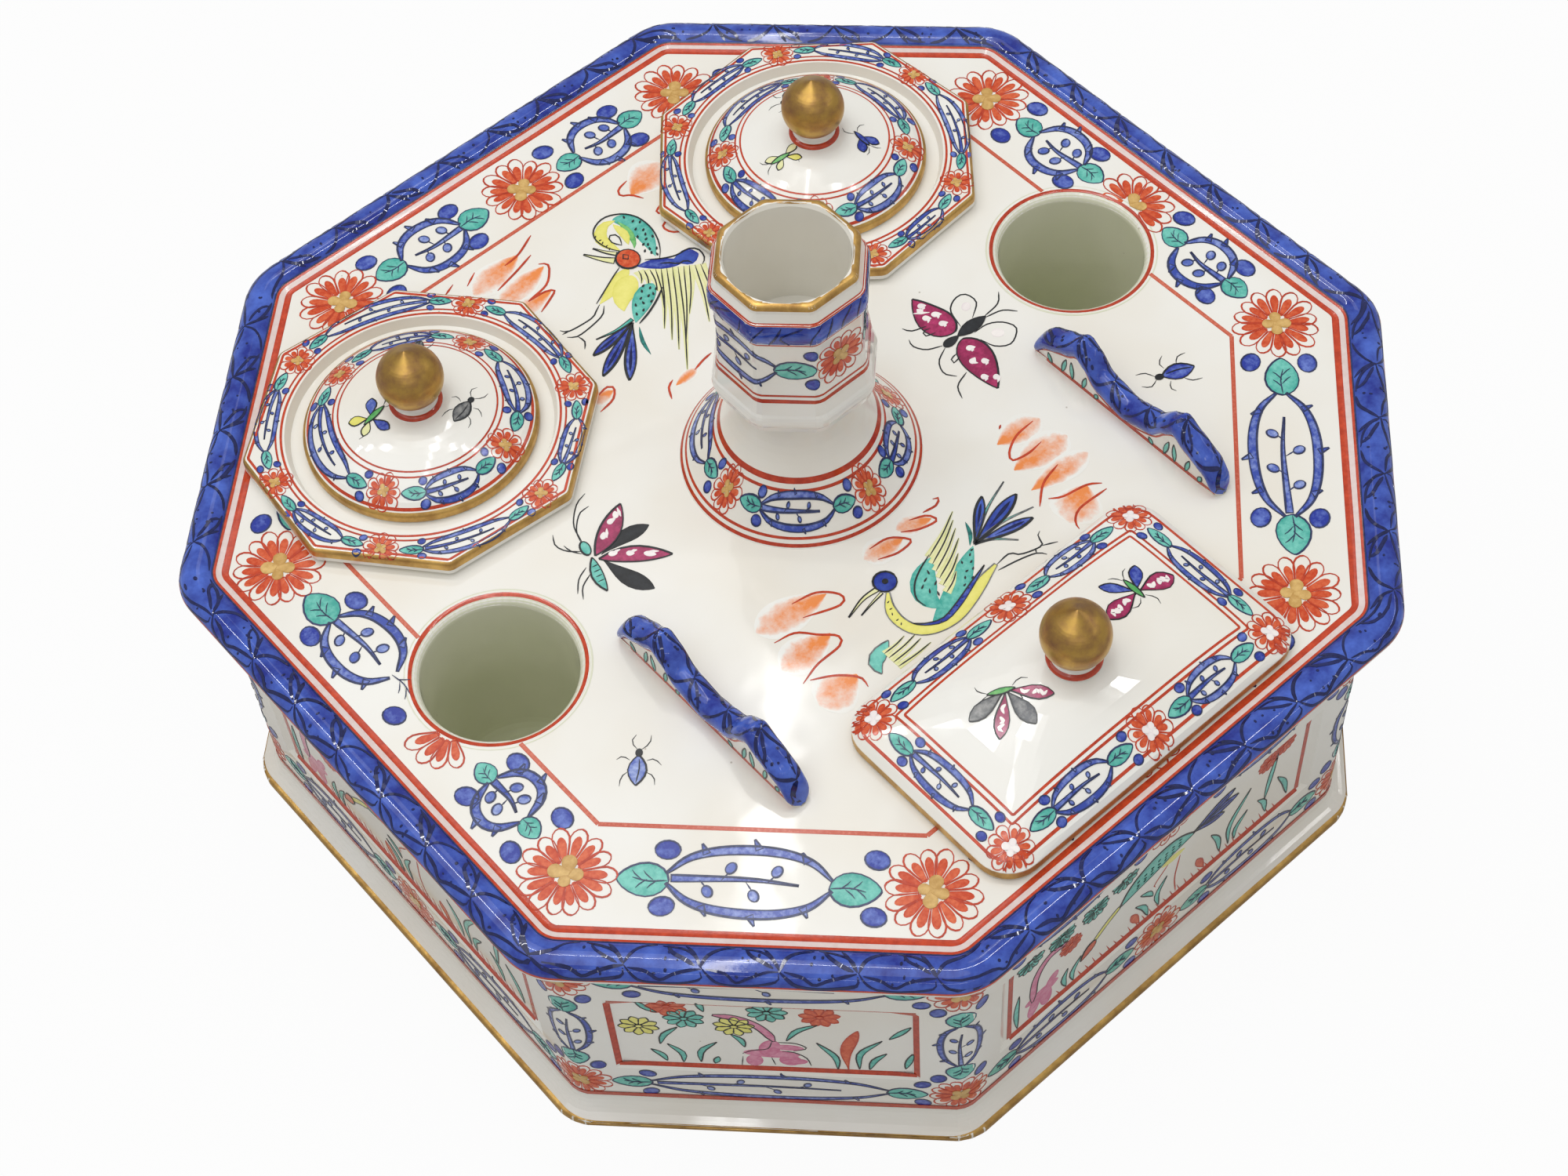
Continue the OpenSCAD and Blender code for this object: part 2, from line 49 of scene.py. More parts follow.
bl_info = {
    "name": "Porcelain Inkstand",
    "version": (1, 0, 0),
    "blender": (4, 5, 0),
    "location": "View3D > Sidebar > Inkstand",
    "description": "Glazes, paints and gilds a porcelain desk inkstand around its construction",
    "category": "Object",
}


def top(node):
    """Height of a node's highest point, in millimetres."""
    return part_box(node)[1].z / MM


def middle(node):
    """Middle of a node seen from above, in millimetres."""
    low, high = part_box(node)
    return (low.x + high.x) / 2 / MM, (low.y + high.y) / 2 / MM


DECK = top("deck")
DECK_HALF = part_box("deck")[1].x / MM


# ---------------------------------------------------------------- colours and nodes

def linear(code):
    """An sRGB hex colour as linear red, green and blue."""
    parts = [int(code[i:i + 2], 16) / 255 for i in (1, 3, 5)]
    return tuple(p / 12.92 if p <= 0.04045 else ((p + 0.055) / 1.055) ** 2.4 for p in parts)


def colour(code, name, description):
    """A colour that a user may change."""
    return bpy.props.FloatVectorProperty(
        name=name, description=description, default=linear(code), size=3,
        min=0, max=1, subtype="COLOR")


def length(size, name, description):
    """A length that a user may change, given in millimetres."""
    return bpy.props.FloatProperty(
        name=name, description=description, default=size * MM, min=0, unit="LENGTH")


class InkstandColours(bpy.types.PropertyGroup):
    """Colours of the glaze, the enamels and the gilding."""
    glaze: colour("#f1f0ea", "Glaze", "White of the glazed porcelain")
    glaze_shade: colour("#ebe6da", "Glaze shade", "Warmer white where the glaze lies thick")
    cobalt: colour("#4d6ccb", "Cobalt", "Strong blue of the rim, the bead and the rests")
    cobalt_deep: colour("#1f2e8c", "Deep cobalt", "Blue where the brush left more")
    iron_red: colour("#d04c2b", "Iron red", "Red of the border lines")
    petal: colour("#e5754a", "Petal red", "Thin iron red inside the petals")
    petal_deep: colour("#c8441f", "Deep petal red", "Iron red where the petals' wash pooled")
    turquoise: colour("#7ccfc0", "Turquoise", "Green-blue of the leaves")
    turquoise_deep: colour("#3fa699", "Deep turquoise", "Turquoise where it pooled")
    blue: colour("#6c82cf", "Enamel blue", "Blue of the buds")
    blue_deep: colour("#27389c", "Deep enamel blue", "Enamel blue where it pooled")
    black: colour("#25292e", "Black", "Drawing lines and veins")
    yellow: colour("#f0ea86", "Yellow", "Yellow of the birds and small flowers")
    ochre: colour("#e2bd78", "Ochre", "Hearts of the flowers")
    rose: colour("#c23d72", "Rose", "Wings of the insects and the rocks in the panels")
    wash: colour("#ef8f4d", "Orange wash", "Soft wash of the rocks")
    gold: colour("#d6ae64", "Gold", "Gilding on the edges and knobs")
    gold_worn: colour("#a37c46", "Worn gold", "Gilding that is rubbed or tarnished")


class InkstandSizes(bpy.types.PropertyGroup):
    """Sizes of the painting and of the photograph's view."""
    enamel: length(0.035, "Enamel", "How far one layer of enamel stands above the next")
    red_line: length(0.9, "Red line", "Width of the red frame lines")
    flower: length(9.2, "Flower", "Radius of the flowers round the deck")
    camera: bpy.props.FloatVectorProperty(
        name="Camera", description="Where the camera stands", size=3, unit="LENGTH",
        default=(-0.2080, -0.2673, 0.5204))


# ---------------------------------------------------------------- materials

def add_node(tree, kind, settings=None, links=None):
    """Adds a node. settings are its own properties; links give its inputs a value or a source."""
    node = tree.nodes.new(kind)
    for key, value in (settings or {}).items():
        setattr(node, key, value)
    for key, value in (links or {}).items():
        if isinstance(value, bpy.types.NodeSocket):
            tree.links.new(value, node.inputs[key])
        else:
            node.inputs[key].default_value = value
    return node


def shade(code):
    """A colour with its alpha: a hex code, or one of the colours that a user may change."""
    if code.startswith("#"):
        return (*linear(code), 1)
    return (*getattr(bpy.context.scene.inkstand_colours, code), 1)


def blank_material(name, links):
    """A material with one Principled BSDF whose inputs are given."""
    material = bpy.data.materials.new(name)
    material.use_nodes = True
    tree = material.node_tree
    tree.nodes.clear()
    shader = add_node(tree, "ShaderNodeBsdfPrincipled", links=links)
    output = add_node(tree, "ShaderNodeOutputMaterial", links={"Surface": shader.outputs[0]})
    return material, tree, shader, output


def object_place(tree):
    """Where a point lies on the object."""
    return add_node(tree, "ShaderNodeTexCoord").outputs["Object"]


def stroke_shares(tree):
    """Shares along a stroke (X) and across it (Y), from its own map."""
    shares = add_node(tree, "ShaderNodeUVMap", {"uv_map": "UVMap"}).outputs[0]
    return add_node(tree, "ShaderNodeSeparateXYZ", links={"Vector": shares}).outputs


def noise(tree, place, size, detail, rough=0.5):
    """A cloudy pattern with lumps of a size in millimetres."""
    return add_node(tree, "ShaderNodeTexNoise", links={
        "Vector": place, "Scale": 1 / (size * MM), "Detail": detail,
        "Roughness": rough}).outputs["Fac"]


def between(tree, value, low, high, first=0.0, last=1.0):
    """A value's share of the way from low to high, held within them and spread to a range."""
    return add_node(tree, "ShaderNodeMapRange", links={
        "Value": value, "From Min": low, "From Max": high, "To Min": first,
        "To Max": last}).outputs["Result"]


def blend(tree, share, one, other):
    """One colour turning into another."""
    return add_node(tree, "ShaderNodeMix", {"data_type": "RGBA"},
                    {0: share, 6: one, 7: other}).outputs[2]


def reckon(tree, value, steps):
    """A value after some steps of arithmetic, each an operation and a number."""
    for operation, number in steps:
        value = add_node(tree, "ShaderNodeMath", {"operation": operation},
                         {0: value, 1: number}).outputs[0]
    return value


def add_share(tree, value, part, share):
    """A value plus a share of another one."""
    return add_node(tree, "ShaderNodeMath", {"operation": "MULTIPLY_ADD"},
                    {0: part, 1: share, 2: value}).outputs[0]


def from_middle(power):
    """Steps from a share across a stroke to how near its edges it lies."""
    return [("SUBTRACT", 0.5), ("ABSOLUTE", 0), ("MULTIPLY", 2.0), ("POWER", power)]


def ripple_surface(tree, shader, height, depth):
    """Makes a surface uneven by a depth in millimetres."""
    uneven = add_node(tree, "ShaderNodeBump", links={
        "Height": height, "Distance": depth * MM, "Strength": 1.0})
    tree.links.new(uneven.outputs["Normal"], shader.inputs["Normal"])


def glazed_porcelain(name, thin, thick):
    """Hard-paste porcelain, dipped and fired: a wet gloss, faint waves and a few iron specks. Where
    the glaze pooled inside a cup it is thicker and a little green, and the darker colour given
    there is partly painted shade of the deep cup."""
    material, tree, shader, _ = blank_material(name, {"Roughness": 0.07, "IOR": 1.5})
    place = object_place(tree)
    coat = between(tree, noise(tree, place, 38, 3.0), 0.35, 0.72)
    specks = add_node(tree, "ShaderNodeTexVoronoi", links={
        "Vector": place, "Scale": 1 / (11 * MM)})
    speck = between(tree, specks.outputs["Distance"], 0.026, 0.012, 0.0, 0.55)
    speckled = blend(tree, speck, blend(tree, coat, shade(thin), shade(thick)),
                     shade("#8d7a62"))
    tree.links.new(speckled, shader.inputs["Base Color"])
    ripple_surface(tree, shader, noise(tree, place, 9, 1.0), 0.06)
    return material


def enamel(name, pale, deep, pooled=0.5, along=0.0, mottled=0.7, toned=0.35, rough=0.14,
           lumps=1.3, ripple=0.012):
    """Overglaze enamel laid with a brush: pale where it dragged, deep where it pooled.
    It pools at a stroke's edges and along it, and each stroke has a tone of its own."""
    material, tree, shader, _ = blank_material(name, {"Roughness": rough, "IOR": 1.5})
    stroke, place = stroke_shares(tree), object_place(tree)
    tone = add_node(tree, "ShaderNodeAttribute", {"attribute_name": "tone"})
    mottle = between(tree, noise(tree, place, lumps, 4.0, 0.6), 0.3, 0.7)
    depth = reckon(tree, stroke["Y"], from_middle(3.0) + [("MULTIPLY", pooled)])
    for part, share in ((stroke["X"], along), (tone.outputs["Fac"], toned), (mottle, mottled)):
        depth = add_share(tree, depth, part, share)
    paint = blend(tree, between(tree, depth, 0.1, 0.95), shade(pale), shade(deep))
    tree.links.new(paint, shader.inputs["Base Color"])
    ripple_surface(tree, shader, noise(tree, place, 0.8, 2.0), ripple)
    return material


def gilding():
    """Fired gold, burnished by hand: warm, a little brown and rubbed in patches."""
    material, tree, shader, _ = blank_material("Burnished gilding", {"Metallic": 0.85})
    place = object_place(tree)
    worn = between(tree, noise(tree, place, 4.5, 5.0, 0.65), 0.34, 0.7)
    tree.links.new(blend(tree, worn, shade("gold"), shade("gold_worn")),
                   shader.inputs["Base Color"])
    tree.links.new(between(tree, worn, 0.0, 1.0, 0.36, 0.52), shader.inputs["Roughness"])
    ripple_surface(tree, shader, noise(tree, place, 0.7, 3.0), 0.02)
    return material


def soft_wash():
    """A thin red wash dabbed on and pulled out to nothing, so one end is bare glaze."""
    material, tree, shader, _ = blank_material("Iron red wash", {"Roughness": 0.1, "IOR": 1.5})
    stroke = stroke_shares(tree)
    patchy = reckon(tree, noise(tree, object_place(tree), 2.2, 4.0, 0.7), [("MULTIPLY", 1.4)])
    fade = add_share(tree, patchy, stroke["X"], 1.2)
    side = reckon(tree, stroke["Y"], from_middle(2.5))
    strength = between(tree, add_share(tree, fade, side, -1.3), 0.45, 1.45)
    tree.links.new(blend(tree, strength, shade("glaze"), shade("wash")),
                   shader.inputs["Base Color"])
    return material


def gilded_knob(name):
    """A knob gilt above its white neck: burnished gold with patches rubbed down to brown."""
    x, y = middle(name)
    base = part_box(name)[0].z
    material, tree, shader, _ = blank_material("Gilt knob " + name, {"IOR": 1.5})
    moved = add_node(tree, "ShaderNodeMapping", links={
        "Vector": object_place(tree), "Location": (-x * MM, -y * MM, 0)}).outputs[0]
    height = add_node(tree, "ShaderNodeSeparateXYZ", links={"Vector": moved}).outputs["Z"]
    gilt = between(tree, height, base + 2.5 * MM, base + 2.7 * MM)
    rubbed = between(tree, noise(tree, moved, 4, 5.0, 0.6), 0.42, 0.7)
    gold = blend(tree, rubbed, shade("#c39d54"), shade("#9c7352"))
    rough = reckon(tree, gilt, [("MULTIPLY", 0.27), ("ADD", 0.08)])
    tree.links.new(blend(tree, gilt, shade("glaze"), gold), shader.inputs["Base Color"])
    tree.links.new(gilt, shader.inputs["Metallic"])
    tree.links.new(rough, shader.inputs["Roughness"])
    return material


MATERIALS = {}


def make_materials():
    """Makes every finish once, by the name that the brush calls it."""
    MATERIALS.update(
        glaze=glazed_porcelain("Glazed porcelain", "glaze", "glaze_shade"),
        # inside the wells and pots: green pooled glaze, darkened partly as painted shade of the
        # deep cups
        pool=glazed_porcelain("Pooled glaze with painted shade", "#e2e2cd", "#d4d7b9"),
        gold=gilding(),
        wash=soft_wash(),
        # a pale pink-grey colour on the cove between the red lines at the rim's inner edge
        band=enamel("Pale pink band", "#e3d3ce", "#d9c2bc", pooled=0, toned=0, rough=0.08,
                    ripple=0.003),
        cobalt=enamel("Cobalt ground", "cobalt", "cobalt_deep", pooled=0.3, mottled=1.0,
                      toned=0.1, rough=0.05, lumps=6, ripple=0.002),
        hatch=enamel("Dark drawing on cobalt", "#232c66", "#141a44", rough=0.05, ripple=0.002),
        line=enamel("Iron red line", "iron_red", "#ad361d", pooled=0.3, mottled=0.8),
        pale_line=enamel("Thin iron red line", "#dc7f66", "#c4573f", mottled=1.0, lumps=0.7),
        petal=enamel("Iron red petal", "petal", "petal_deep", pooled=0.3, along=0.15,
                     mottled=0.8, toned=0.3, lumps=0.9),
        turquoise=enamel("Turquoise enamel", "turquoise", "turquoise_deep", along=-0.3),
        turquoise_dark=enamel("Dark turquoise enamel", "turquoise_deep", "#1d5f5c"),
        blue=enamel("Blue enamel", "blue", "blue_deep", pooled=0.7, mottled=0.9),
        pale_blue=enamel("Pale blue enamel", "#a9b9e6", "#5166b8", mottled=0.9, toned=0.5),
        arm=enamel("Branch blue enamel", "#90a2dc", "#394ea9", mottled=0.9, toned=0.5),
        slate=enamel("Thin dark outline", "#3f4870", "#212848", rough=0.2),
        black=enamel("Black drawing", "black", "#0d0f12", rough=0.3),
        grey=enamel("Thin black wash", "#9a9a98", "#3c4046", rough=0.25),
        yellow=enamel("Yellow enamel", "yellow", "#dcd75f", mottled=0.4),
        pale_yellow=enamel("Thin yellow enamel", "#f2efc0", "#dfe19a", mottled=0.4),
        green=enamel("Green enamel", "#8fd07e", "#4da35a"),
        ochre=enamel("Ochre heart", "ochre", "#bf9450"),
        rose=enamel("Rose enamel", "rose", "#8f2350", mottled=0.8),
        pink=enamel("Thin rose enamel", "#e29ab4", "#cf6d92", mottled=0.8),
        white=enamel("White enamel", "#fbf6f1", "#e9dfe0", mottled=0.3),
    )


# ---------------------------------------------------------------- outlines and canvases

class Outline:
    """A closed outline seen from above, run anticlockwise, with round corners, in millimetres."""

    def __init__(self, corners, radius, centre=(0.0, 0.0)):
        self.parts = []     # length, start angle, turn, then arc centre and radius or line ends
        points = [Vector(c) + Vector(centre) for c in corners]
        arcs = []
        for i, point in enumerate(points):
            back = (points[i - 1] - point).normalized()
            ahead = (points[(i + 1) % len(points)] - point).normalized()
            half = back.angle(ahead) / 2
            hub = point + (back + ahead).normalized() * radius / math.sin(half)
            first = math.atan2(back.x, -back.y)
            arcs.append((hub, radius, first, math.pi - 2 * half))
        self._join(arcs)

    def _join(self, arcs):
        for i, (hub, radius, first, turn) in enumerate(arcs):
            self.parts.append((radius * turn, first, turn, hub, radius))
            after = arcs[(i + 1) % len(arcs)]
            last = first + turn
            start = hub + Vector((math.cos(last), math.sin(last))) * radius
            end = after[0] + Vector((math.cos(after[2]), math.sin(after[2]))) * after[1]
            self.parts.append(((end - start).length, last, 0.0, start, end))
        self.length = sum(p[0] for p in self.parts)
        self.offset = self.parts[-1][0] / 2     # distance 0 is the middle of the last side

    def at(self, distance):
        """Place and outward direction at a distance along the outline."""
        left = (distance - self.offset) % self.length
        for part, first, turn, begin, extra in self.parts:
            if left <= part or part == self.parts[-1][0] and begin is self.parts[-1][3]:
                share = left / part if part else 0.0
                angle = first + turn * share
                way = Vector((math.cos(angle), math.sin(angle)))
                place = begin + way * extra if turn else begin.lerp(extra, min(share, 1.0))
                return place, way
            left -= part
        raise ValueError("outside the outline")

    def middles(self):
        """Distances of the middle of each side, then of each corner, from the first side on."""
        marks, run = [], self.offset
        for part in self.parts:
            marks.append((run + part[0] / 2) % self.length)
            run += part[0]
        corners, sides = marks[0::2], marks[1::2]
        return [sides[-1]] + sides[:-1], corners


def octagon(half, cut):
    """Corners of a square with cut corners, from the right end of its front side."""
    return [(cut, -half), (half, -cut), (half, cut), (cut, half),
            (-cut, half), (-half, cut), (-half, -cut), (-cut, -half)]


def rectangle(half_x, half_y):
    return [(half_x, -half_y), (half_x, half_y), (-half_x, half_y), (-half_x, -half_y)]


def turned(points, angle):
    """Points turned by an angle in degrees."""
    turn = Matrix.Rotation(math.radians(angle), 2)
    return [tuple(turn @ Vector(p)) for p in points]


class RoundOutline(Outline):
    """A circle, starting at its front."""

    def __init__(self, radius, centre=(0.0, 0.0)):
        self.parts = [(2 * math.pi * radius, -math.pi / 2, 2 * math.pi, Vector(centre), radius)]
        self.length = self.parts[0][0]
        self.offset = 0.0


class Flat:
    """A canvas seen square on, with its two axes; reach is how far off the brush starts."""
    fine = 3.0      # widest facet across a stroke

    def __init__(self, centre, across=(1, 0, 0), up=(0, 1, 0), reach=20):
        self.centre, self.across, self.up = Vector(centre), Vector(across), Vector(up)
        self.normal, self.reach = self.across.cross(self.up).normalized(), reach

    def ray(self, x, y):
        start = self.centre + self.across * x + self.up * y + self.normal * self.reach
        return start * MM, -self.normal


class Ring:
    """A canvas round a centre, seen from above: across runs anticlockwise, up points inwards."""
    fine, reach = 2.0, 20

    def __init__(self, centre, radius, height):
        self.centre, self.radius, self.height = centre, radius, height

    def ray(self, x, y):
        angle, out = x / self.radius, self.radius - y
        place = (self.centre[0] + out * math.cos(angle), self.centre[1] + out * math.sin(angle),
                 self.height + self.reach)
        return Vector(place) * MM, Vector((0, 0, -1))


class Around:
    """A canvas round an outline: across runs along it, up is height unless a profile bends it."""
    fine = 1.2

    def __init__(self, outline, profile=None, reach=6):
        self.outline, self.reach = outline, reach
        self.profile = profile or (lambda up: (reach, up, -1.0, 0.0))

    def ray(self, x, y):
        place, way = self.outline.at(x)
        out, height, inward, sink = self.profile(y)
        start = place + way * out
        return Vector((start.x, start.y, height)) * MM, Vector(
            (way.x * inward, way.y * inward, sink)).normalized()


# ---------------------------------------------------------------- modelling

def deselect():
    if bpy.context.mode != "OBJECT":
        bpy.ops.object.mode_set(mode="OBJECT")
    bpy.ops.object.select_all(action="DESELECT")


GRIDS = {}


def grid(columns, rows):
    """Shares across and up, and faces, of a unit grid that is modelled once for each size."""
    if (columns, rows) not in GRIDS:
        deselect()
        bpy.ops.mesh.primitive_grid_add(x_subdivisions=columns, y_subdivisions=rows, size=1)
        plane = bpy.context.object
        shares = [(v.co.x + 0.5, v.co.y + 0.5) for v in plane.data.vertices]
        GRIDS[columns, rows] = shares, [tuple(p.vertices) for p in plane.data.polygons]
        data = plane.data
        bpy.data.objects.remove(plane)
        bpy.data.meshes.remove(data)
    return GRIDS[columns, rows]


def hold(piece):
    """Selects one piece and makes it the active one."""
    deselect()
    piece.select_set(True)
    bpy.context.view_layer.objects.active = piece


def mend(piece, merge, *steps):
    """Merges a piece's doubles within some millimetres, then runs other edit operators on it."""
    hold(piece)
    bpy.ops.object.mode_set(mode="EDIT")
    bpy.ops.mesh.select_all(action="SELECT")
    bpy.ops.mesh.remove_doubles(threshold=merge * MM)
    for step in steps:
        step()
    bpy.ops.object.mode_set(mode="OBJECT")


def face_outwards():
    bpy.ops.mesh.select_all(action="SELECT")
    bpy.ops.mesh.normals_make_consistent(inside=False)


def close_holes():
    bpy.ops.mesh.select_all(action="DESELECT")
    bpy.ops.mesh.select_non_manifold()
    bpy.ops.mesh.edge_face_add()


def finish_piece(piece, body, smooth):
    """Smooths a piece under an angle and sets it on its body."""
    hold(piece)
    bpy.ops.object.shade_smooth_by_angle(angle=math.radians(smooth))
    deselect()
    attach(piece, body)
    return piece


def new_piece(name, places, faces, shares):
    """A piece from its points and faces, with a share along and across for each point."""
    mesh = bpy.data.meshes.new(name)
    mesh.from_pydata(places, [], faces)
    layer = mesh.uv_layers.new(name="UVMap")
    for loop in mesh.loops:
        layer.data[loop.index].uv = shares[loop.vertex_index]
    piece = bpy.data.objects.new(name, mesh)
    bpy.context.scene.collection.objects.link(piece)
    return piece


def laid_grid(name, columns, rows, place):
    """A grid primitive laid over a shape: place gives a point in millimetres for two shares."""
    shares, faces = grid(columns, rows)
    return new_piece(name, [Vector(place(u, v)) * MM for u, v in shares], faces, shares)


# ---------------------------------------------------------------- the brush

def eased(t):
    return (1 - math.cos(math.pi * t)) / 2


TOUCH = {       # how wide each kind of touch is along its length, and whether its ends are round
    "even": (lambda t: 1.0, False),
    "line": (lambda t: min(1.0, 0.3 + 5 * t, 0.3 + 5 * (1 - t)), False),
    "tail": (lambda t: 1 - 0.85 * t, False),
    "oval": (lambda t: max(0.05, math.sqrt(max(0.0, 1 - (2 * t - 1) ** 2))), True),
    "leaf": (lambda t: max(0.05, math.sin(math.pi * t) ** 0.8), True),
    "drop": (lambda t: max(0.06, math.sin(math.pi * t ** 1.55) ** 0.75), True),
    "seed": (lambda t: max(0.05, math.sin(math.pi * t ** 0.7) ** 0.8), True),
    "petal": (lambda t: max(0.08, min(1.0, 0.35 + 1.1 * t) * math.sqrt(
        max(0.0, 1 - max(0.0, t / 0.34 - 1.94) ** 2))), True),
    "ovate": (lambda t: max(0.06, math.sin(math.pi * t ** 0.82) ** 0.6), True),
    "bow": (lambda t: max(0.2, math.sin(math.pi * t) ** 0.5), False),
}


def curve_through(points, steps, closed=False, even=True):
    """Points on a smooth curve through the given ones."""
    points = [Vector(p) for p in points]
    count = len(points)
    spans = count if closed else count - 1
    if spans == 1:
        return [points[0].lerp(points[1], i / steps if even else eased(i / steps))
                for i in range(steps + 1)]
    lengths = [(points[(i + 1) % count] - points[i]).length for i in range(spans)]
    total = sum(lengths)
    found = []
    for step in range(steps + (0 if closed else 1)):
        share = step / steps
        left = (share if even or closed else eased(share)) * total
        i = 0
        while i < spans - 1 and left > lengths[i]:
            left -= lengths[i]
            i += 1
        t = left / lengths[i] if lengths[i] else 0
        a = points[i - 1] if i or closed else points[0] * 2 - points[1]
        b, c = points[i], points[(i + 1) % count]
        d = points[(i + 2) % count] if closed or i + 2 < count else c * 2 - b
        found.append(((b * 2) + (c - a) * t + (a * 2 - b * 5 + c * 4 - d) * t * t
                      + (b * 3 - a - c * 3 + d) * t ** 3) / 2)
    return found


ENAMEL_THICK = 0.09     # from an enamel's face to its hidden underside, in millimetres


class Painting:
    """Collects the strokes on some pieces and turns them into one mesh of closed enamels."""

    def __init__(self, name, *surfaces, seed=1):
        self.name, self.hand = name, random.Random(seed)
        self.places, self.faces, self.shares, self.tones, self.paints = [], [], [], [], []
        self.pigments, self.count = [], 0
        self.holes = []     # centre and radius of round places where nothing is painted
        self.lowest = 0.0   # height under which nothing is painted
        self.layer = bpy.context.scene.inkstand_sizes.enamel
        self.over(*surfaces)

    def over(self, *surfaces):
        """Holds the painting over some pieces: strokes land on these and on no others."""
        points, polygons = [], []
        for piece in surfaces:
            first = len(points)
            points += [v.co.copy() for v in piece.data.vertices]
            polygons += [[first + i for i in p.vertices] for p in piece.data.polygons]
        self.tree = BVHTree.FromPolygons(points, polygons)

    def land(self, canvas, x, y, lift):
        """Where a bristle at x, y touches down, a layer or more above the glaze."""
        start, way = canvas.ray(x, y)
        place, normal, _, _ = self.tree.ray_cast(start, way, canvas.reach * 2.2 * MM)
        if place is None:
            place, normal, _, _ = self.tree.find_nearest(start + way * canvas.reach * MM)
        if normal.dot(way) > 0:
            normal = -normal
        return place + normal * lift

    def strip(self, canvas, middle, widths, pigment, level, columns=1, closed=False):
        """Lays one strip of enamel along canvas points."""
        if any((p - hole).length < radius for hole, radius in self.holes for p in middle):
            return
        count = len(middle)
        columns = max(columns, math.ceil(2 * max(widths) / canvas.fine))
        shares, faces = grid(count if closed else count - 1, columns)
        if pigment not in self.pigments:
            self.pigments.append(pigment)
        tone, first = self.hand.random(), len(self.places)
        self.count += 1
        lift = self.layer * (1 + level) + (self.count % 50) * 0.0006 * MM
        rows = []
        for i in range(count):
            before = middle[i - 1] if i or closed else middle[0]
            after = middle[(i + 1) % count] if i < count - 1 or closed else middle[i]
            way = (after - before)
            way = way.normalized() if way.length else Vector((1, 0))
            left = Vector((-way.y, way.x)) * widths[i]
            rows.append([self.land(canvas, *(middle[i] + left * (2 * j / columns - 1)), lift)
                         for j in range(columns + 1)])
        if min(place.z for row in rows for place in row) < self.lowest * MM:
            return
        steps = count if closed else count - 1
        for u, v in shares:
            self.places.append(rows[round(u * steps) % count][round(v * columns)])
            self.shares.append((u, v))
            self.tones.append(tone)
        for face in faces:
            self.faces.append([first + i for i in face])
            self.paints.append(self.pigments.index(pigment))

    def dry(self, body):
        """Makes the strokes one closed mesh that rides on a body."""
        piece = new_piece(self.name, self.places, self.faces, self.shares)
        for pigment in self.pigments:
            piece.data.materials.append(MATERIALS[pigment])
        piece.data.polygons.foreach_set("material_index", self.paints)
        tone = piece.data.attributes.new("tone", "FLOAT", "POINT")
        tone.data.foreach_set("value", self.tones)
        mend(piece, 0.00005)
        bpy.ops.object.modifier_add(type="SOLIDIFY")
        wall = piece.modifiers[-1]
        wall.thickness, wall.offset = ENAMEL_THICK * MM, -1
        bpy.ops.object.modifier_apply(modifier=wall.name)
        return finish_piece(piece, body, 30)


class Brush:
    """A brush held over one place on a canvas, in a motif's own turned and scaled axes."""

    def __init__(self, painting, canvas, x=0.0, y=0.0, turn=0.0, size=1.0, flip=1):
        self.painting, self.canvas = painting, canvas
        self.home, self.turn, self.size, self.flip = Vector((x, y)), turn, size, flip

    def at(self, x, y, turn=0.0, size=1.0, flip=1):
        """The same brush moved to a place in this one's axes."""
        place = self.to_canvas((x, y))
        return Brush(self.painting, self.canvas, place.x, place.y,
                     self.turn + turn * self.flip, self.size * size, self.flip * flip)

    def to_canvas(self, point):
        x, y = point[0] * self.size, point[1] * self.size * self.flip
        angle = math.radians(self.turn)
        return self.home + Vector((x * math.cos(angle) - y * math.sin(angle),
                                   x * math.sin(angle) + y * math.cos(angle)))

    def stroke(self, pigment, points, width, touch="line", level=0, closed=False, columns=1,
               step=1.1, outline=None, line=0.28):
        """A stroke along points; width is its greatest. An outline has a pigment of its own."""
        spread, round_ends = TOUCH[touch]
        run = sum((Vector(a) - Vector(b)).length for a, b in zip(points, points[1:])) * self.size
        if closed:
            run += (Vector(points[0]) - Vector(points[-1])).length * self.size
        steps = max(8 if round_ends else 3, min(90, round(run / step)))
        if len(points) == 2 and not round_ends:
            steps = max(2, min(12, round(run / 3)))
        middle = [self.to_canvas(p) for p in curve_through(points, steps, closed, not round_ends)]
        count = len(middle)
        shares = [i / (count - 1) for i in range(count)]
        if round_ends:
            shares = [eased(s) for s in shares]
        widths = [width / 2 * self.size * spread(s) for s in shares]
        if pigment:
            self.painting.strip(self.canvas, middle, widths, pigment, level, columns, closed)
        if outline:
            self.trace(outline, middle, widths, level + 1, line)

    def lines(self, pigment, paths, width, level=1):
        """Several thin lines of one width."""
        for points in paths:
            self.stroke(pigment, points, width, level=level)

    def trace(self, pigment, middle, widths, level, line):
        """A fine line round the edge of a stroke, heavier on one side."""
        left, right = [], []
        for i, place in enumerate(middle):
            before, after = middle[max(i - 1, 0)], middle[min(i + 1, len(middle) - 1)]
            way = (after - before).normalized()
            side = Vector((-way.y, way.x)) * widths[i]
            left.append(place + side)
            right.append(place - side)
        path = left + right[::-1]
        heavy = self.painting.hand.choice((0, 1))
        thick = [line / 2 * self.size ** 0.5 * (1.35 if (i < len(left)) == heavy else 0.8)
                 for i in range(len(path))]
        self.painting.strip(self.canvas, path, thick, pigment, level, 1, True)


# ---------------------------------------------------------------- motifs

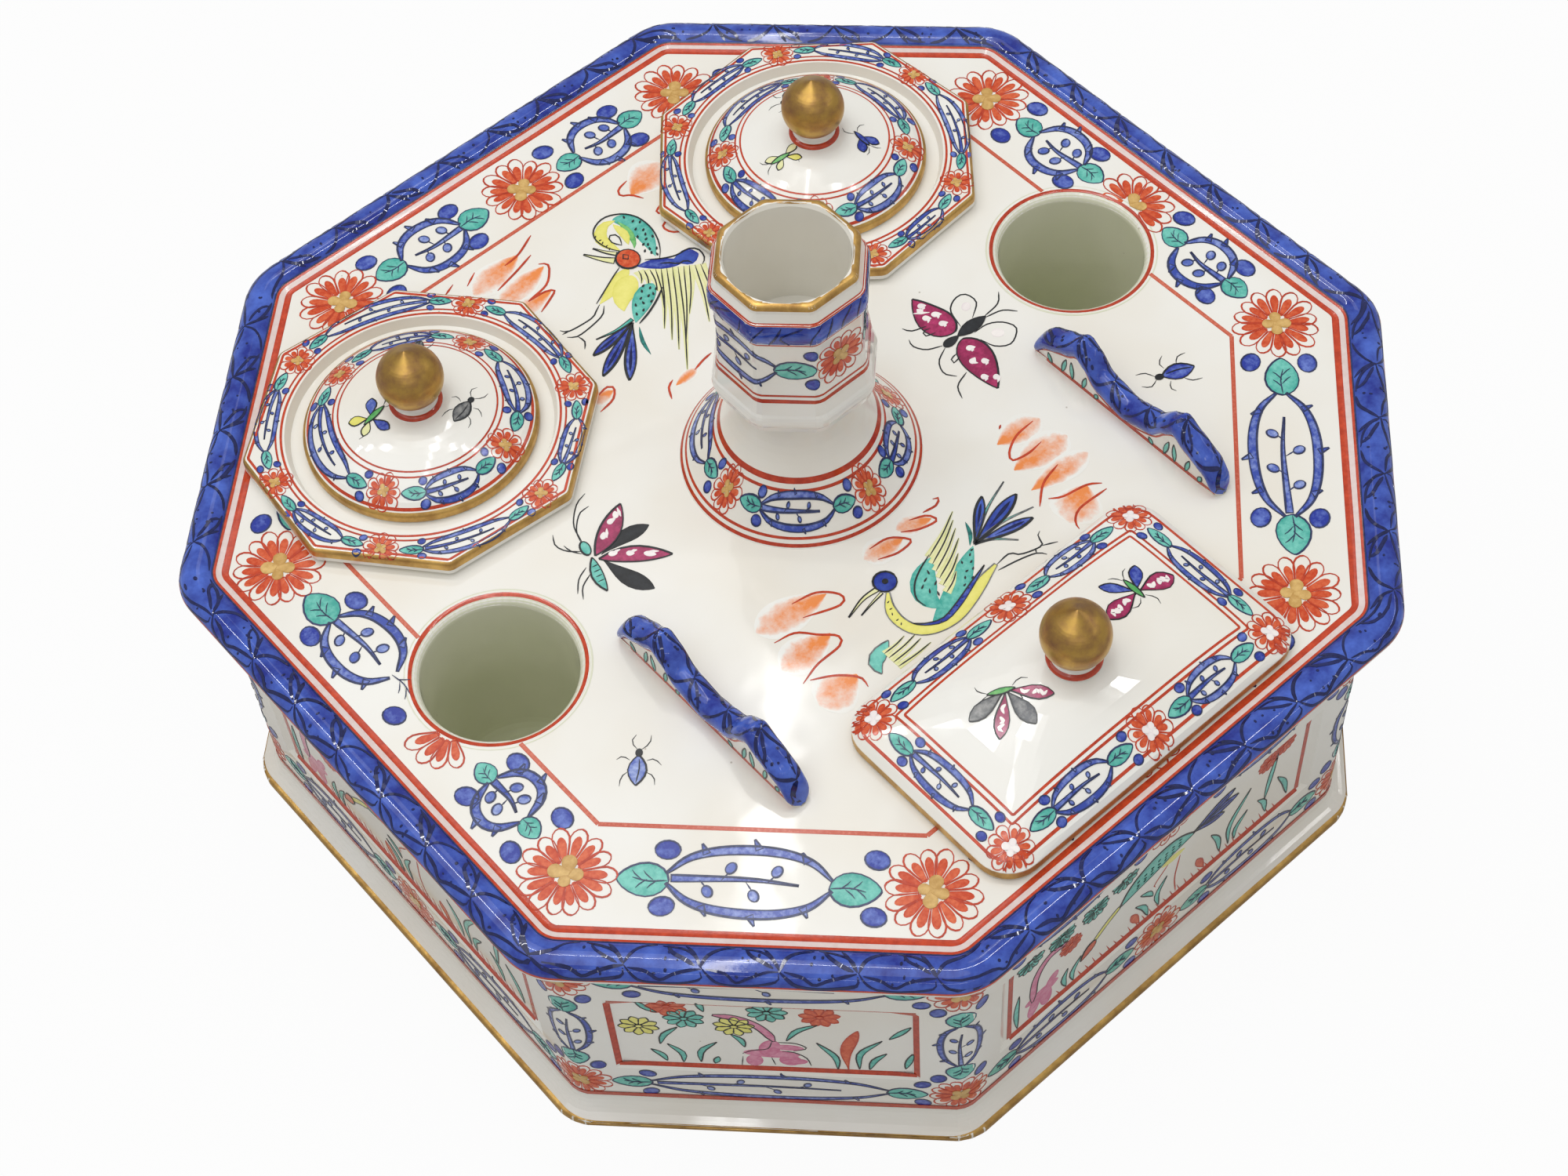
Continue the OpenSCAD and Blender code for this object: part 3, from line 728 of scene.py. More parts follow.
def flower(brush, petals=14, radius=9.2, heart="ochre", level=0):
    """A chrysanthemum: petals looped in red, each filled near the four-lobed heart."""
    hand, line = brush.painting.hand, 0.12 + 0.018 * radius
    wide = 1.6 * radius * math.sin(math.pi / petals)
    for k in range(petals):
        petal = brush.at(0, 0, 360 * (k + hand.uniform(-0.07, 0.07)) / petals,
                         hand.uniform(0.93, 1.04))
        petal.stroke(None, [(radius * 0.3, 0), (radius, 0)], wide, "petal", outline="line",
                     line=line, level=level)
        petal.stroke("petal", [(radius * 0.26, 0), (radius * hand.uniform(0.76, 0.84), 0)],
                     wide * 0.55, "petal", level)
    for k in range(4):
        brush.at(0, 0, 90 * k + 30, hand.uniform(0.85, 1.1)).stroke(
            heart, [(-radius * 0.05, 0), (radius * 0.37, 0)], radius * 0.3, "petal", level + 3)


def leaf(brush, long=9.0, wide=6.0, level=0):
    """A pointed turquoise leaf with dark veins; its stalk is at the left."""
    line = 0.12 + 0.02 * long
    brush.stroke("turquoise", [(-long / 2, 0), (long / 2, 0)], wide, "ovate", level, columns=2,
                 outline="slate", line=line)
    brush.stroke("slate", [(-long * 0.47, 0), (-long * 0.1, wide * 0.04),
                           (long * 0.2, -wide * 0.05)], line * 0.8, level=level + 3)
    for x, side in ((-0.3, 1), (-0.2, -1), (-0.08, 1), (0.02, -1)):
        brush.stroke("slate", [(long * x, 0), (long * (x + 0.13), side * wide * 0.14),
                               (long * (x + 0.2), side * wide * 0.26)], line * 0.7,
                     level=level + 3)


def bud(brush, long=4.6, wide=3.8, level=0):
    """A blue bud, outlined more heavily to one side."""
    brush.stroke("blue", [(-long / 2, 0), (long / 2, 0)], wide, "oval", level, columns=2,
                 outline="slate", line=0.12 + 0.03 * long)


def thorny_oval(brush, long=17.0, high=13.0, level=0):
    """Two bowed and thorny blue branches round a budding twig."""
    hand, line = brush.painting.hand, 0.15 + 0.013 * high
    thick = high * (0.125 if high > 8 else 0.2)
    for side in (1, -1):
        bow = [(-0.5, 0.07), (-0.36, 0.31), (-0.15, 0.43), (0.14, 0.44), (0.36, 0.32), (0.5, 0.07)]
        brush.stroke("arm", [(x * long, side * y * high) for x, y in bow], thick, "bow", level,
                     outline="slate", line=line)
        for x in (-0.3, 0.03, 0.33):
            x += hand.uniform(-0.05, 0.05)
            y = side * high * (0.47 - 1.35 * x * x)
            brush.stroke("arm", [(x * long, y), (x * long - side * high * 0.07,
                                                 y + side * high * 0.14)],
                         high * 0.1, "tail", level, outline="slate", line=line * 0.8)
    brush.stroke("arm", [(-long * 0.47, 0), (0, high * 0.03), (long * 0.3, -high * 0.02)],
                 thick * 0.8, "tail", level, outline="slate", line=line)
    for x, y in ((-0.12, 0.17), (0.03, -0.18), (0.16, 0.15), (-0.25, -0.15)):
        brush.stroke("slate", [(long * (x - 0.05), 0), (long * x, high * y * 0.8)], line,
                     level=level)
        brush.at(long * x, high * y, 60 * math.copysign(1, y)).stroke(
            "pale_blue", [(-high * 0.07, 0), (high * 0.1, 0)], high * 0.13, "oval", level + 1,
            outline="slate", line=line * 0.8)


def garland(brush, stops, flower_size, high, leaf_long, closed=False, petals=14, heart="ochre",
            bud_size=1.0):
    """Flowers at stops, and between each two a leaf, a thorny oval and a leaf, with buds.
    Unless it is closed, the last stop is the first one again, so its flower is left out."""
    hand = brush.painting.hand
    count = len(stops)
    for i, (x, y) in enumerate(stops):
        if closed or i < count - 1:
            flower(brush.at(x, y, hand.uniform(0, 20)), petals, flower_size, heart)
    for i in range(count if closed else count - 1):
        a, b = Vector(stops[i]), Vector(stops[(i + 1) % count])
        gap = b - a
        run = brush.at(*((a + b) / 2), math.degrees(math.atan2(gap.y, gap.x)))
        free = gap.length - flower_size * 2.04
        long = min(leaf_long, free * 0.25)
        reach = (free - long) / 2
        for side, beside in ((1, 0.38), (-1, -0.42)):
            leaf(run.at(side * reach, hand.uniform(-0.04, 0.04) * high, 0 if side > 0 else 180),
                 long, min(long * 0.86, high * 0.48))
            for edge in (1, -1):
                bud(run.at(side * (reach + long * beside), edge * high * 0.4,
                           hand.uniform(-30, 30)), 0.33 * high * bud_size, 0.27 * high * bud_size)
        thorny_oval(run.at(0, 0), free - 1.9 * long, high)


def ring_garland(painting, centre, ring, height, angles, flower_size, high, leaf_long, petals,
                 bud_size, up=0):
    """A garland round a centre, with its flowers at angles."""
    stops = [(math.radians(angle) * ring, up) for angle in angles]
    stops.append((stops[0][0] + 2 * math.pi * ring, up))
    garland(Brush(painting, Ring(centre, ring, height)), stops, flower_size, high, leaf_long,
            petals=petals, bud_size=bud_size)


def wavering(hand, count, amount):
    """Smooth chance offsets for a closed row of stations."""
    knots = [hand.uniform(-amount, amount) for _ in range(max(3, count // 11))]
    found = []
    for i in range(count):
        at = i / count * len(knots)
        found.append(knots[int(at)] + (knots[(int(at) + 1) % len(knots)] - knots[int(at)])
                     * eased(at % 1))
    return found


def stations(outline, step=1.5):
    """Distances along an outline: close together round its corners, further apart on its sides."""
    found, run = [], outline.offset
    for part, _, turn, _, _ in outline.parts:
        pieces = max(1, round(part / step), round(math.degrees(turn) / 5))
        if part > 0.001:
            found += [run + part * k / pieces for k in range(pieces)]
        run += part
    return found


def frame_line(painting, outline, width, pigment="line", inset=0.0, canvas=None, height=0.0,
               wander=0.06, level=0):
    """A painted line that follows an outline seen from above, where the surface lies at about a
    height, or that runs round a canvas at a height."""
    distances = stations(outline)
    count, columns = len(distances), max(1, round(width / 0.4))
    widths = [width / 2 + w for w in wavering(painting.hand, count, width * wander)]
    strays = wavering(painting.hand, count, wander)
    if canvas:
        # a canvas that wraps has no seam, so the last station lands on the first
        middle = [Vector((d, height + stray)) for d, stray in zip(distances, strays)]
        middle.append(Vector((distances[0] + outline.length, middle[0].y)))
        painting.strip(canvas, middle, widths + widths[:1], pigment, level, columns)
        return
    middle = []
    for d, stray in zip(distances, strays):
        place, way = outline.at(d)
        middle.append(place - way * (inset + stray))
    painting.strip(Flat((0, 0, height)), middle, widths, pigment, level, columns, True)


def neck_line(painting, knob, centre):
    """A red line round a knob's neck, painted with its lid."""
    painting.over(node(knob))
    canvas = Around(RoundOutline(6, centre))
    canvas.fine = 0.12
    frame_line(painting, canvas.outline, 0.9, canvas=canvas,
               height=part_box(knob)[0].z / MM + 0.7, wander=0.02)


# ---------------------------------------------------------------- pieces

WALL_OUT = 3.2                  # how far the wall stands outside the deck's edge
DECK_CUT = 53.0                 # half width of the deck's long sides
OCTAGON_CUT = math.tan(math.radians(22.5))

ROLL = (5.75, DECK - 1.4, 3.85, 3.2)    # rolled rim: how far out, how high, half width and height
INNER_FRAME = (85.3, 42.0)      # half width and half side of the red octagon inside the garland
DECK_FLOWERS = [(2.5, 94), (-46, 95), (-96, 47), (-93, -7), (-96, -46), (-49, -94.5), (0, -96),
                (47, -95), (94.5, -46), (96.6, -2), (96, 43), (46, 93.5)]
WELL_LINE = 17.3                # radius of the red line round a pen well
PANEL_LOW, PANEL_HIGH = 20.9, 48.2      # heights of the red frame on each sunk panel
PANEL_MIDDLE = 35.3             # height of the thorny ovals on the wall's corners
REST_HALF, REST_ROLL = 1.9, 2.75        # half thickness of a pen rest, and its roll's radius

CAMERA_ANGLES = (-37.889, 52.845, -4.258)   # round from the front, up, and the camera's own roll
IMAGE_WIDTH, IMAGE_HEIGHT = 2000, 1500      # pixels of the photograph
FOCAL_PIXELS = 3488                         # focal length in those pixels
VIEW_CENTRE = (1012, 564.4)                 # where the lens's axis meets the photograph


def node(name):
    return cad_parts[name]


def deck_outline(out=0.0, radius=3.4):
    """The deck's outline, set out by a distance."""
    return Outline(octagon(DECK_HALF + out, DECK_CUT + out * OCTAGON_CUT), radius + max(out, 0))


def plate_outline(side, out=0.0):
    """An ink plate's outline: side is -1 on the left and 1 on the right."""
    name = "ink_plate_left" if side < 0 else "ink_plate_right"
    half, turn = 34.4 + out, -5.2 if side < 0 else 4.6
    return Outline(turned(octagon(half, half * OCTAGON_CUT), turn), 2.2, middle(name))


class INKSTAND_OT_glaze(bpy.types.Operator):
    """Dips every piece in the clear glaze and gilds the knobs"""
    bl_idname = "inkstand.glaze"
    bl_label = "Glaze"

    def execute(self, context):
        make_materials()
        for name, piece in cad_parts.items():
            piece.data.materials.clear()
            piece.data.materials.append(MATERIALS["glaze"])
        # the cups' insides get the darker, greener glaze, which is partly painted shade
        for name in ("pen_well_left", "pen_well_right", "box_well", "ink_pot_left",
                     "ink_pot_right"):
            node(name).data.materials[0] = MATERIALS["pool"]
        for name in ("lid_knob_left", "lid_knob_right", "box_lid_knob"):
            node(name).data.materials[0] = gilded_knob(name)
        return {"FINISHED"}


def roll_profile(centre_out, centre_z, across, high, reach=3.0):
    """A way over a rounded roll for Around: up is the distance over it from its outermost line."""
    mean = (across + high) / 2

    def profile(up):
        angle = up / mean
        c, s = math.cos(angle), math.sin(angle)
        return centre_out + (across + reach) * c, centre_z + (high + reach) * s, -c, -s
    return profile


def edge_profile(high, nose, reach=3.0):
    """A way for Around up an upright edge, over its rounded nose and in across the top."""
    def profile(up):
        past = up - (high - nose)
        if past < 0:
            return reach, up, -1.0, 0.0
        angle = min(past / nose, math.pi / 2)
        inward = max(0.0, past - nose * math.pi / 2)
        c, s = math.cos(angle), math.sin(angle)
        return (nose + reach) * c - nose - inward, high + (nose + reach) * s - nose, -c, -s
    return profile


def gild_edge(name, body, outline, surface, high, nose, low, rise, seed):
    """Gilds an upright edge from a height, by a distance that may run over its nose."""
    gilt = Painting(name, surface, seed=seed)
    canvas = Around(outline, edge_profile(high, nose), 3.0)
    canvas.fine = 0.25
    frame_line(gilt, outline, rise, "gold", canvas=canvas, height=low + rise / 2, wander=0.02)
    gilt.dry(body)


# lines of one scale: shares of its length, and of the way from the cusps to the edge
ARCHES = (((0, 0), (0.08, 0.45), (0.24, 0.82), (0.42, 0.97)), ((0.5, 0.96), (0.72, 0.8),
          (0.9, 0.45), (1, 0)), ((-0.22, 0.97), (-0.1, 0.5), (0, 0)),
          ((0.56, 0.95), (0.62, 0.6), (0.78, 0.3), (0.93, 0.08)))
LOOPS = (((0, 0), (0.1, 0.45), (0.22, 0.82), (0.45, 0.95), (0.72, 0.88), (0.98, 0.6), (1, 0.2)),
         ((0.06, 0.1), (0.3, 0.3), (0.46, 0.7), (0.62, 0.42), (0.84, 0.16), (1, 0.05)))


def scales(brush, start, end, low, high, pitch=14.0):
    """Fish scales drawn dark over a blue ground: arches stand on a row of cusps and loops hang
    from it, each with a second line and a few dots inside. Pitch is about how long one is."""
    hand = brush.painting.hand
    count = max(1, round((end - start) / pitch))
    step, middle_y = (end - start) / count, low + (high - low) * 0.45
    for k in range(count):
        x = start + k * step
        for way, shapes in ((high - middle_y, ARCHES), (low - middle_y, LOOPS)):
            for shape in shapes:
                points = [(x + (u + hand.uniform(-0.015, 0.015)) * step, middle_y
                           + (v + hand.uniform(-0.04, 0.04)) * way) for u, v in shape]
                brush.stroke("hatch", points, hand.uniform(0.45, 0.75), level=1, step=0.9)
            for _ in range(3):
                px = x + hand.uniform(0.35, 0.75) * step
                py = middle_y + hand.uniform(0.2, 0.6) * way
                brush.stroke("hatch", [(px, py), (px + 0.1, py + hand.uniform(0.3, 0.8))],
                             hand.uniform(0.35, 0.65), "oval", 1)


class INKSTAND_OT_rim(bpy.types.Operator):
    """Models the smooth rim with its cobalt roll, draws scales on it, lines it in red and paints a
    dark shadow line at the roll's foot
    """
    bl_idname = "inkstand.rim"
    bl_label = "Rim"

    def execute(self, context):
        outline = deck_outline()
        along = stations(outline, 6)
        along.append(along[0] + outline.length)
        centre_out, centre_z, across, high = ROLL
        # how far out, how high from the deck's top, and the finish of the face that follows
        section = [(0, 0, "glaze"), (0.5, 0.09, "band"), (1.14, 0.2, "band"), (1.9, 0.35, "band"),
                   (2.63, 0.5, "cobalt")]
        for degrees in range(140, -91, -5):
            angle = math.radians(degrees)
            section.append((centre_out + across * math.cos(angle),
                            centre_z - DECK + high * math.sin(angle),
                            "cobalt" if degrees > 4 else "glaze"))
        section += [(4.6, -5, "glaze"), (2.3, -5, "glaze"), (0, -5, "glaze"), (0, -2.5, "glaze")]
        rows = len(section)

        def place(u, v):
            spot, way = outline.at(along[round(u * (len(along) - 1))])
            out, rise, _ = section[round(v * rows) % rows]
            return spot.x + way.x * out, spot.y + way.y * out, DECK + rise

        rim = laid_grid("rim_glazed", len(along) - 1, rows, place)
        finishes = ["glaze", "band", "cobalt"]
        for name in finishes:
            rim.data.materials.append(MATERIALS[name])
        layer = rim.data.uv_layers["UVMap"]
        for face in rim.data.polygons:
            v = min(layer.data[i].uv.y for i in face.loop_indices)
            face.material_index = finishes.index(section[round(v * rows) % rows][2])
        mend(rim, 0.002, face_outwards)
        finish_piece(rim, "body", 60)
        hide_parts("rim")

        painting = Painting("rim_enamels", rim, seed=3)
        canvas = Around(outline, roll_profile(*ROLL), 3.0)
        scales(Brush(painting, canvas), 0, outline.length, 0.5, 8.4)
        frame_line(painting, outline, 0.55, canvas=canvas, height=0.3)
        frame_line(painting, outline, 0.55, inset=-2.2, height=DECK, wander=0.03)
        # painted shadow: a thin dark line in the crease where the band meets the roll
        frame_line(painting, outline, 0.3, "slate", inset=-2.62, height=DECK, wander=0.03, level=1)
        painting.dry("body")
        return {"FINISHED"}


class INKSTAND_OT_foot(bpy.types.Operator):
    """Gilds the upright edge of the foot"""
    bl_idname = "inkstand.foot"
    bl_label = "Foot"

    def execute(self, context):
        gild_edge("foot_gilding", "body", deck_outline(7.3), node("foot"), 2.3, 0.5, 0.2, 2.8, 4)
        return {"FINISHED"}


class INKSTAND_OT_deck(bpy.types.Operator):
    """Paints the deck: red lines, a garland round the edge, two birds, rocks and insects"""
    bl_idname = "inkstand.deck"
    bl_label = "Deck"

    def execute(self, context):
        painting = Painting("deck_enamels", node("deck"), bpy.data.objects["rim_glazed"],
                            node("pen_well_left"), node("pen_well_right"), seed=11)
        brush = Brush(painting, Flat((0, 0, DECK)))
        frame_line(painting, deck_outline(), 1.3, inset=-0.1, height=DECK)
        wells = [middle("pen_well_left"), middle("pen_well_right")]
        for place in wells:
            frame_line(painting, RoundOutline(WELL_LINE - 0.3, place), 2.4, "glaze", height=DECK,
                       level=-0.8)
            frame_line(painting, RoundOutline(WELL_LINE, place), 0.8, height=DECK)
        painting.holes = [(Vector(place), WELL_LINE - 0.1) for place in wells]
        half, cut = INNER_FRAME
        for side in (1, -1):
            x, y = wells[1]
            gap = math.sqrt((WELL_LINE + 0.6) ** 2 - (half - x) ** 2)
            corners = [(half, y + side * gap), (half, side * cut), (cut, side * half),
                       (-cut, side * half), (-half, side * cut), (-half, y + side * gap)]
            for a, b in zip(corners, corners[1:]):
                brush.stroke("pale_line", [a, b], context.scene.inkstand_sizes.red_line / MM,
                             "even")
        garland(brush, DECK_FLOWERS, context.scene.inkstand_sizes.flower / MM, 14.5, 9.6, True)
        rocks(brush)
        crested_bird(brush)
        running_bird(brush)
        butterfly(brush)
        moth(brush.at(-44.5, 3.6))
        beetle(brush.at(69.5, -40.5, -22), "blue", 1.0)
        beetle(brush.at(-72, -37.4, -135), "pale_blue", 0.9)
        painting.dry("body")
        return {"FINISHED"}


def rocks(brush):
    """Rocks in soft orange wash, with crisp brush lines round their finger-like ends."""
    washes = [      # from the faded end to the full one, and how wide
        ([(-24, 77), (-10, 79.5)], 6.5), ([(-22, 70.5), (-8, 73)], 6.0),
        ([(-22, 66), (-11, 66.5)], 4.5), ([(30, 79), (19, 76)], 8.0),
        ([(30, 66), (20, 66)], 6.5), ([(-24, 36.5), (-18.5, 36)], 3.6),
        ([(-2, 28.6), (-8, 28)], 2.6), ([(-36, -30), (-20, -32.5)], 7.0),
        ([(-38, -40), (-25.5, -40)], 7.0), ([(-38, -51), (-28, -50.5)], 8.0),
        ([(-9, -31.5), (0, -33)], 5.2), ([(0.5, -30.5), (7.5, -33.3)], 4.4),
        ([(41, -30), (30, -29)], 6.0), ([(42, -37), (28, -36)], 7.0),
        ([(27, -53), (36, -48.5)], 9.0), ([(42, -43), (27, -42)], 5.0)]
    for points, width in washes:
        brush.stroke("wash", points, width * 1.25, "seed", -0.7, columns=6)
    lines = [
        [(-14, 79), (-10, 79.5), (-4.5, 82)], [(-19.5, 74.4), (-13, 76), (-8, 77.5)],
        [(-16.5, 67.5), (-11, 68.4), (-8, 71), (-7, 73), (-8.4, 74.3)],
        [(-16.5, 67.4), (-12.5, 67.2), (-10.5, 66), (-13, 64.6), (-16.3, 63.2)],
        [(-29, 81), (-25.5, 82.5)], [(-23.5, 80), (-20, 82)],
        [(21, 80), (18, 79.2), (17.2, 77.5), (19, 76), (20.4, 73.4)],
        [(23, 69.6), (20, 68.4), (20.6, 66.6)],
        [(20.5, 65), (18.2, 64), (18.6, 61.5), (20.8, 59.8)],
        [(-24, 33.4), (-20, 34.2), (-18, 36.4), (-19, 37.6), (-22, 37)],
        [(-11, 25.8), (-9.5, 28.6), (-7.6, 29.6)], [(-2.5, 28.5), (0.5, 29.3), (3, 29.6)],
        [(-26.5, -29.7), (-21.5, -30.8), (-18.6, -33.4), (-18, -35.5), (-20, -36.3), (-27, -33.6)],
        [(-35, -34.2), (-30.5, -35.2), (-27.5, -38.5), (-24.8, -41.4), (-26, -43.3), (-32, -43.6),
         (-37, -45)], [(-35.5, -45.3), (-31, -48), (-28, -51.5), (-28.3, -54)],
        [(-6.5, -30.4), (-2.5, -30.8), (-0.3, -32.4), (0.9, -34.6), (-3, -34.9), (-7, -33.4)],
        [(0.8, -31.6), (4, -33.6), (8, -34.4), (7.4, -32.2), (4, -30.6)],
        [(7.3, -31.1), (10.5, -31.6), (12, -30.6), (11, -30)],
        [(39.5, -29.6), (34.5, -30), (30.5, -32), (29.5, -34), (33, -34.9), (37, -34.6)],
        [(35.4, -41), (30, -42.4), (25.4, -46)], [(28, -45.8), (30.5, -47.4), (36, -48.6),
                                                   (38.6, -50.4)], [(38.3, -52), (31, -51.8),
                                                                    (28, -53.5), (27.3, -55.3)],
        [(33, -26.4), (34, -25.8)]]
    brush.lines("line", lines, 0.5)


def ticks(brush, places, long=0.9, width=0.5, angle=50, pigment="black", level=3):
    """Short dabs at several places."""
    for x, y in places:
        turn = math.radians(angle + brush.painting.hand.uniform(-35, 35))
        brush.stroke(pigment, [(x, y), (x + long * math.cos(turn), y + long * math.sin(turn))],
                     width, "seed", level)


def fan(brush, first, last, tips, pigment, width, level=0):
    """Long feathers from a line of roots to a line of tips, each edged in black."""
    count = len(tips)
    for k, tip in enumerate(tips):
        root = Vector(first).lerp(Vector(last), k / max(1, count - 1))
        bend = root.lerp(Vector(tip), 0.5) + Vector((0.3, -0.2))
        brush.stroke(pigment, [root, bend, tip], width, "tail", level)
        brush.stroke("black", [root, bend, tip], 0.3, "line", level + 1)


def tail_feather(brush, root, tip, width, pigment="blue", line=0.42):
    """A spoon-shaped tail feather with a heavy outline and a dark shaft."""
    brush.stroke(pigment, [root, tip], width, "drop", 1, outline="black", line=line)
    a, b = Vector(root).lerp(Vector(tip), 0.35), Vector(root).lerp(Vector(tip), 0.86)
    brush.stroke("hatch", [a, b], width * 0.3, "drop", 2)


def crested_bird(brush):
    """The bird with a great curled crest, wings down, at the back of the deck."""
    brush.stroke("turquoise", [(11.4, 73.2), (13.8, 70.4), (14, 66), (12.9, 61.8), (11.6, 58.6)],
                 4.4, "seed", 0, columns=2)
    brush.stroke("yellow", [(7, 65.2), (6.1, 68), (6.2, 71), (8.8, 73.1), (11.6, 72.6)], 2.9,
                 "leaf", 1, columns=2)
    brush.stroke("green", [(11.8, 72), (11.9, 68.5), (10.8, 65), (9.6, 63.4)], 1.5, "leaf", 1)
    brush.stroke("yellow", [(10.6, 72), (10.6, 68), (9.4, 65.2)], 2.0, "leaf", 2)
    brush.stroke("black", [(7, 64.6), (5.4, 67.6), (5, 71.2), (6.6, 73.8), (10.2, 74.9),
                           (13.8, 73.2), (15.8, 70), (16.1, 66), (15.2, 62.4), (13.6, 59.4),
                           (11.8, 57.4)], 0.34, level=3)
    brush.stroke("black", [(8.2, 66), (7.1, 68), (7.6, 69.8), (8.9, 69.6), (9.2, 68), (8.2, 66)],
                 0.3, level=3)
    ticks(brush, [(5.3, y) for y in (66.8, 68, 69.2, 70.4, 71.6)], 0.7, 0.28, 10)
    ticks(brush, [(13.5, 71.6), (14, 69.6), (15, 68.3), (13, 67.3), (14.1, 66), (12, 65.2),
                  (13.7, 64.6), (12.8, 63.6), (11.4, 62.8), (14.5, 63), (12.2, 61.9), (10.5, 61),
                  (11.9, 60.6), (12.9, 59.8), (11.3, 59.6), (12.1, 58.3)])
    brush.stroke("pale_yellow", [(4.2, 63.6), (2.4, 66), (0.4, 69.6)], 1.6, "tail", 1,
                 outline="black", line=0.24)
    brush.stroke("pale_yellow", [(5.8, 64.9), (4.4, 66.8), (3, 69.6)], 1.0, "tail", 1,
                 outline="black", line=0.24)
    brush.stroke("blue", [(6.8, 59), (9.4, 57.4), (12.6, 54.8), (15.6, 53)], 3.0, "leaf", 1,
                 columns=2)
    brush.stroke("cobalt", [(13, 55), (15.5, 54), (18.8, 52.6)], 4.6, "drop", 1, columns=2)
    brush.stroke("black", [(9.2, 59.3), (12, 57.1), (15, 55.6), (18.2, 55.2), (19.6, 53.4),
                           (19, 50.8), (17.4, 49.7)], 0.36, level=3)
    brush.stroke("black", [(10.9, 56.2), (12.6, 54.9), (13.8, 53.4), (15.4, 53.1), (16.2, 51.6)],
                 0.36, level=3)
    tips = [(4.4, 54.6), (4.8, 52.6), (5.6, 50.6), (3, 45), (0, 41.5), (-0.8, 38), (-1.4, 35),
            (-3.6, 29.6), (1.5, 36), (6.5, 41), (8.2, 36.4), (9.6, 34)]
    fan(brush, (6.2, 57.8), (17.2, 50), tips, "pale_yellow", 2.4, 0)
    brush.stroke("yellow", [(5, 59.8), (1.6, 58.8), (-2, 57.3), (-5.8, 56.3)], 3.2, "seed", 0,
                 columns=2)
    brush.stroke("yellow", [(4.4, 57.6), (1.2, 56), (-1.8, 53.6), (-3.2, 51.2)], 5.4, "seed", 1,
                 columns=2)
    brush.stroke("turquoise", [(6.2, 52.8), (3, 51.6), (-0.6, 49.2), (-3.4, 47)], 4.6, "seed", 2,
                 columns=2)
    brush.stroke("black", [(7, 50.6), (4, 48.8), (0.4, 47.2), (-3, 46.2)], 0.44, level=4)
    ticks(brush, [(3.8, 53.6), (2.8, 52.4), (4.6, 52), (1.2, 51.2), (2.9, 50.6), (-0.6, 50.3),
                  (1.1, 49.6), (4.2, 50.2), (5.4, 51), (2.4, 49), (-2, 48.2), (-0.4, 48.2)],
          level=5)
    brush.stroke("black", [(3.8, 61.4), (0.8, 60.1), (-3, 58.3), (-6.3, 56.8)], 0.3, level=3)
    brush.stroke("petal", [(6.6, 64.8), (6.7, 59.1)], 5.2, "oval", 4, columns=2, outline="black",
                 line=0.34)
    brush.stroke("black", [(6.6 + 0.75 * math.cos(a), 62.7 + 0.9 * math.sin(a))
                           for a in (0, 1.3, 2.5, 3.8, 5, 6.28)], 0.34, level=6)
    for tip, width in (((-15.6, 46.2), 2.1), ((-17.6, 40.5), 2.4), ((-14.2, 35.8), 2.4)):
        tail_feather(brush, (-4, 47.4), tip, width)
    brush.stroke("turquoise", [(-3.4, 48.2), (-8, 48.2), (-12.5, 49.2)], 0.9, "tail", 0,
                 outline="black", line=0.22)
    brush.stroke("turquoise_dark", [(-3.6, 45.6), (-5.6, 42), (-6.6, 38)], 0.9, "leaf", 0)
    brush.lines("black", (
        [(-5.9, 56.2), (-7.4, 55.4), (-9.6, 54.4), (-15.2, 54.9), (-16.6, 56.4)],
        [(-5.4, 55.3), (-7.8, 53.3), (-14.4, 52.5), (-16.6, 53.9)],
        [(-15.2, 54.9), (-16.9, 55.2)], [(-14.8, 52.4), (-14.6, 50.4), (-15.9, 48.8)]), 0.34)


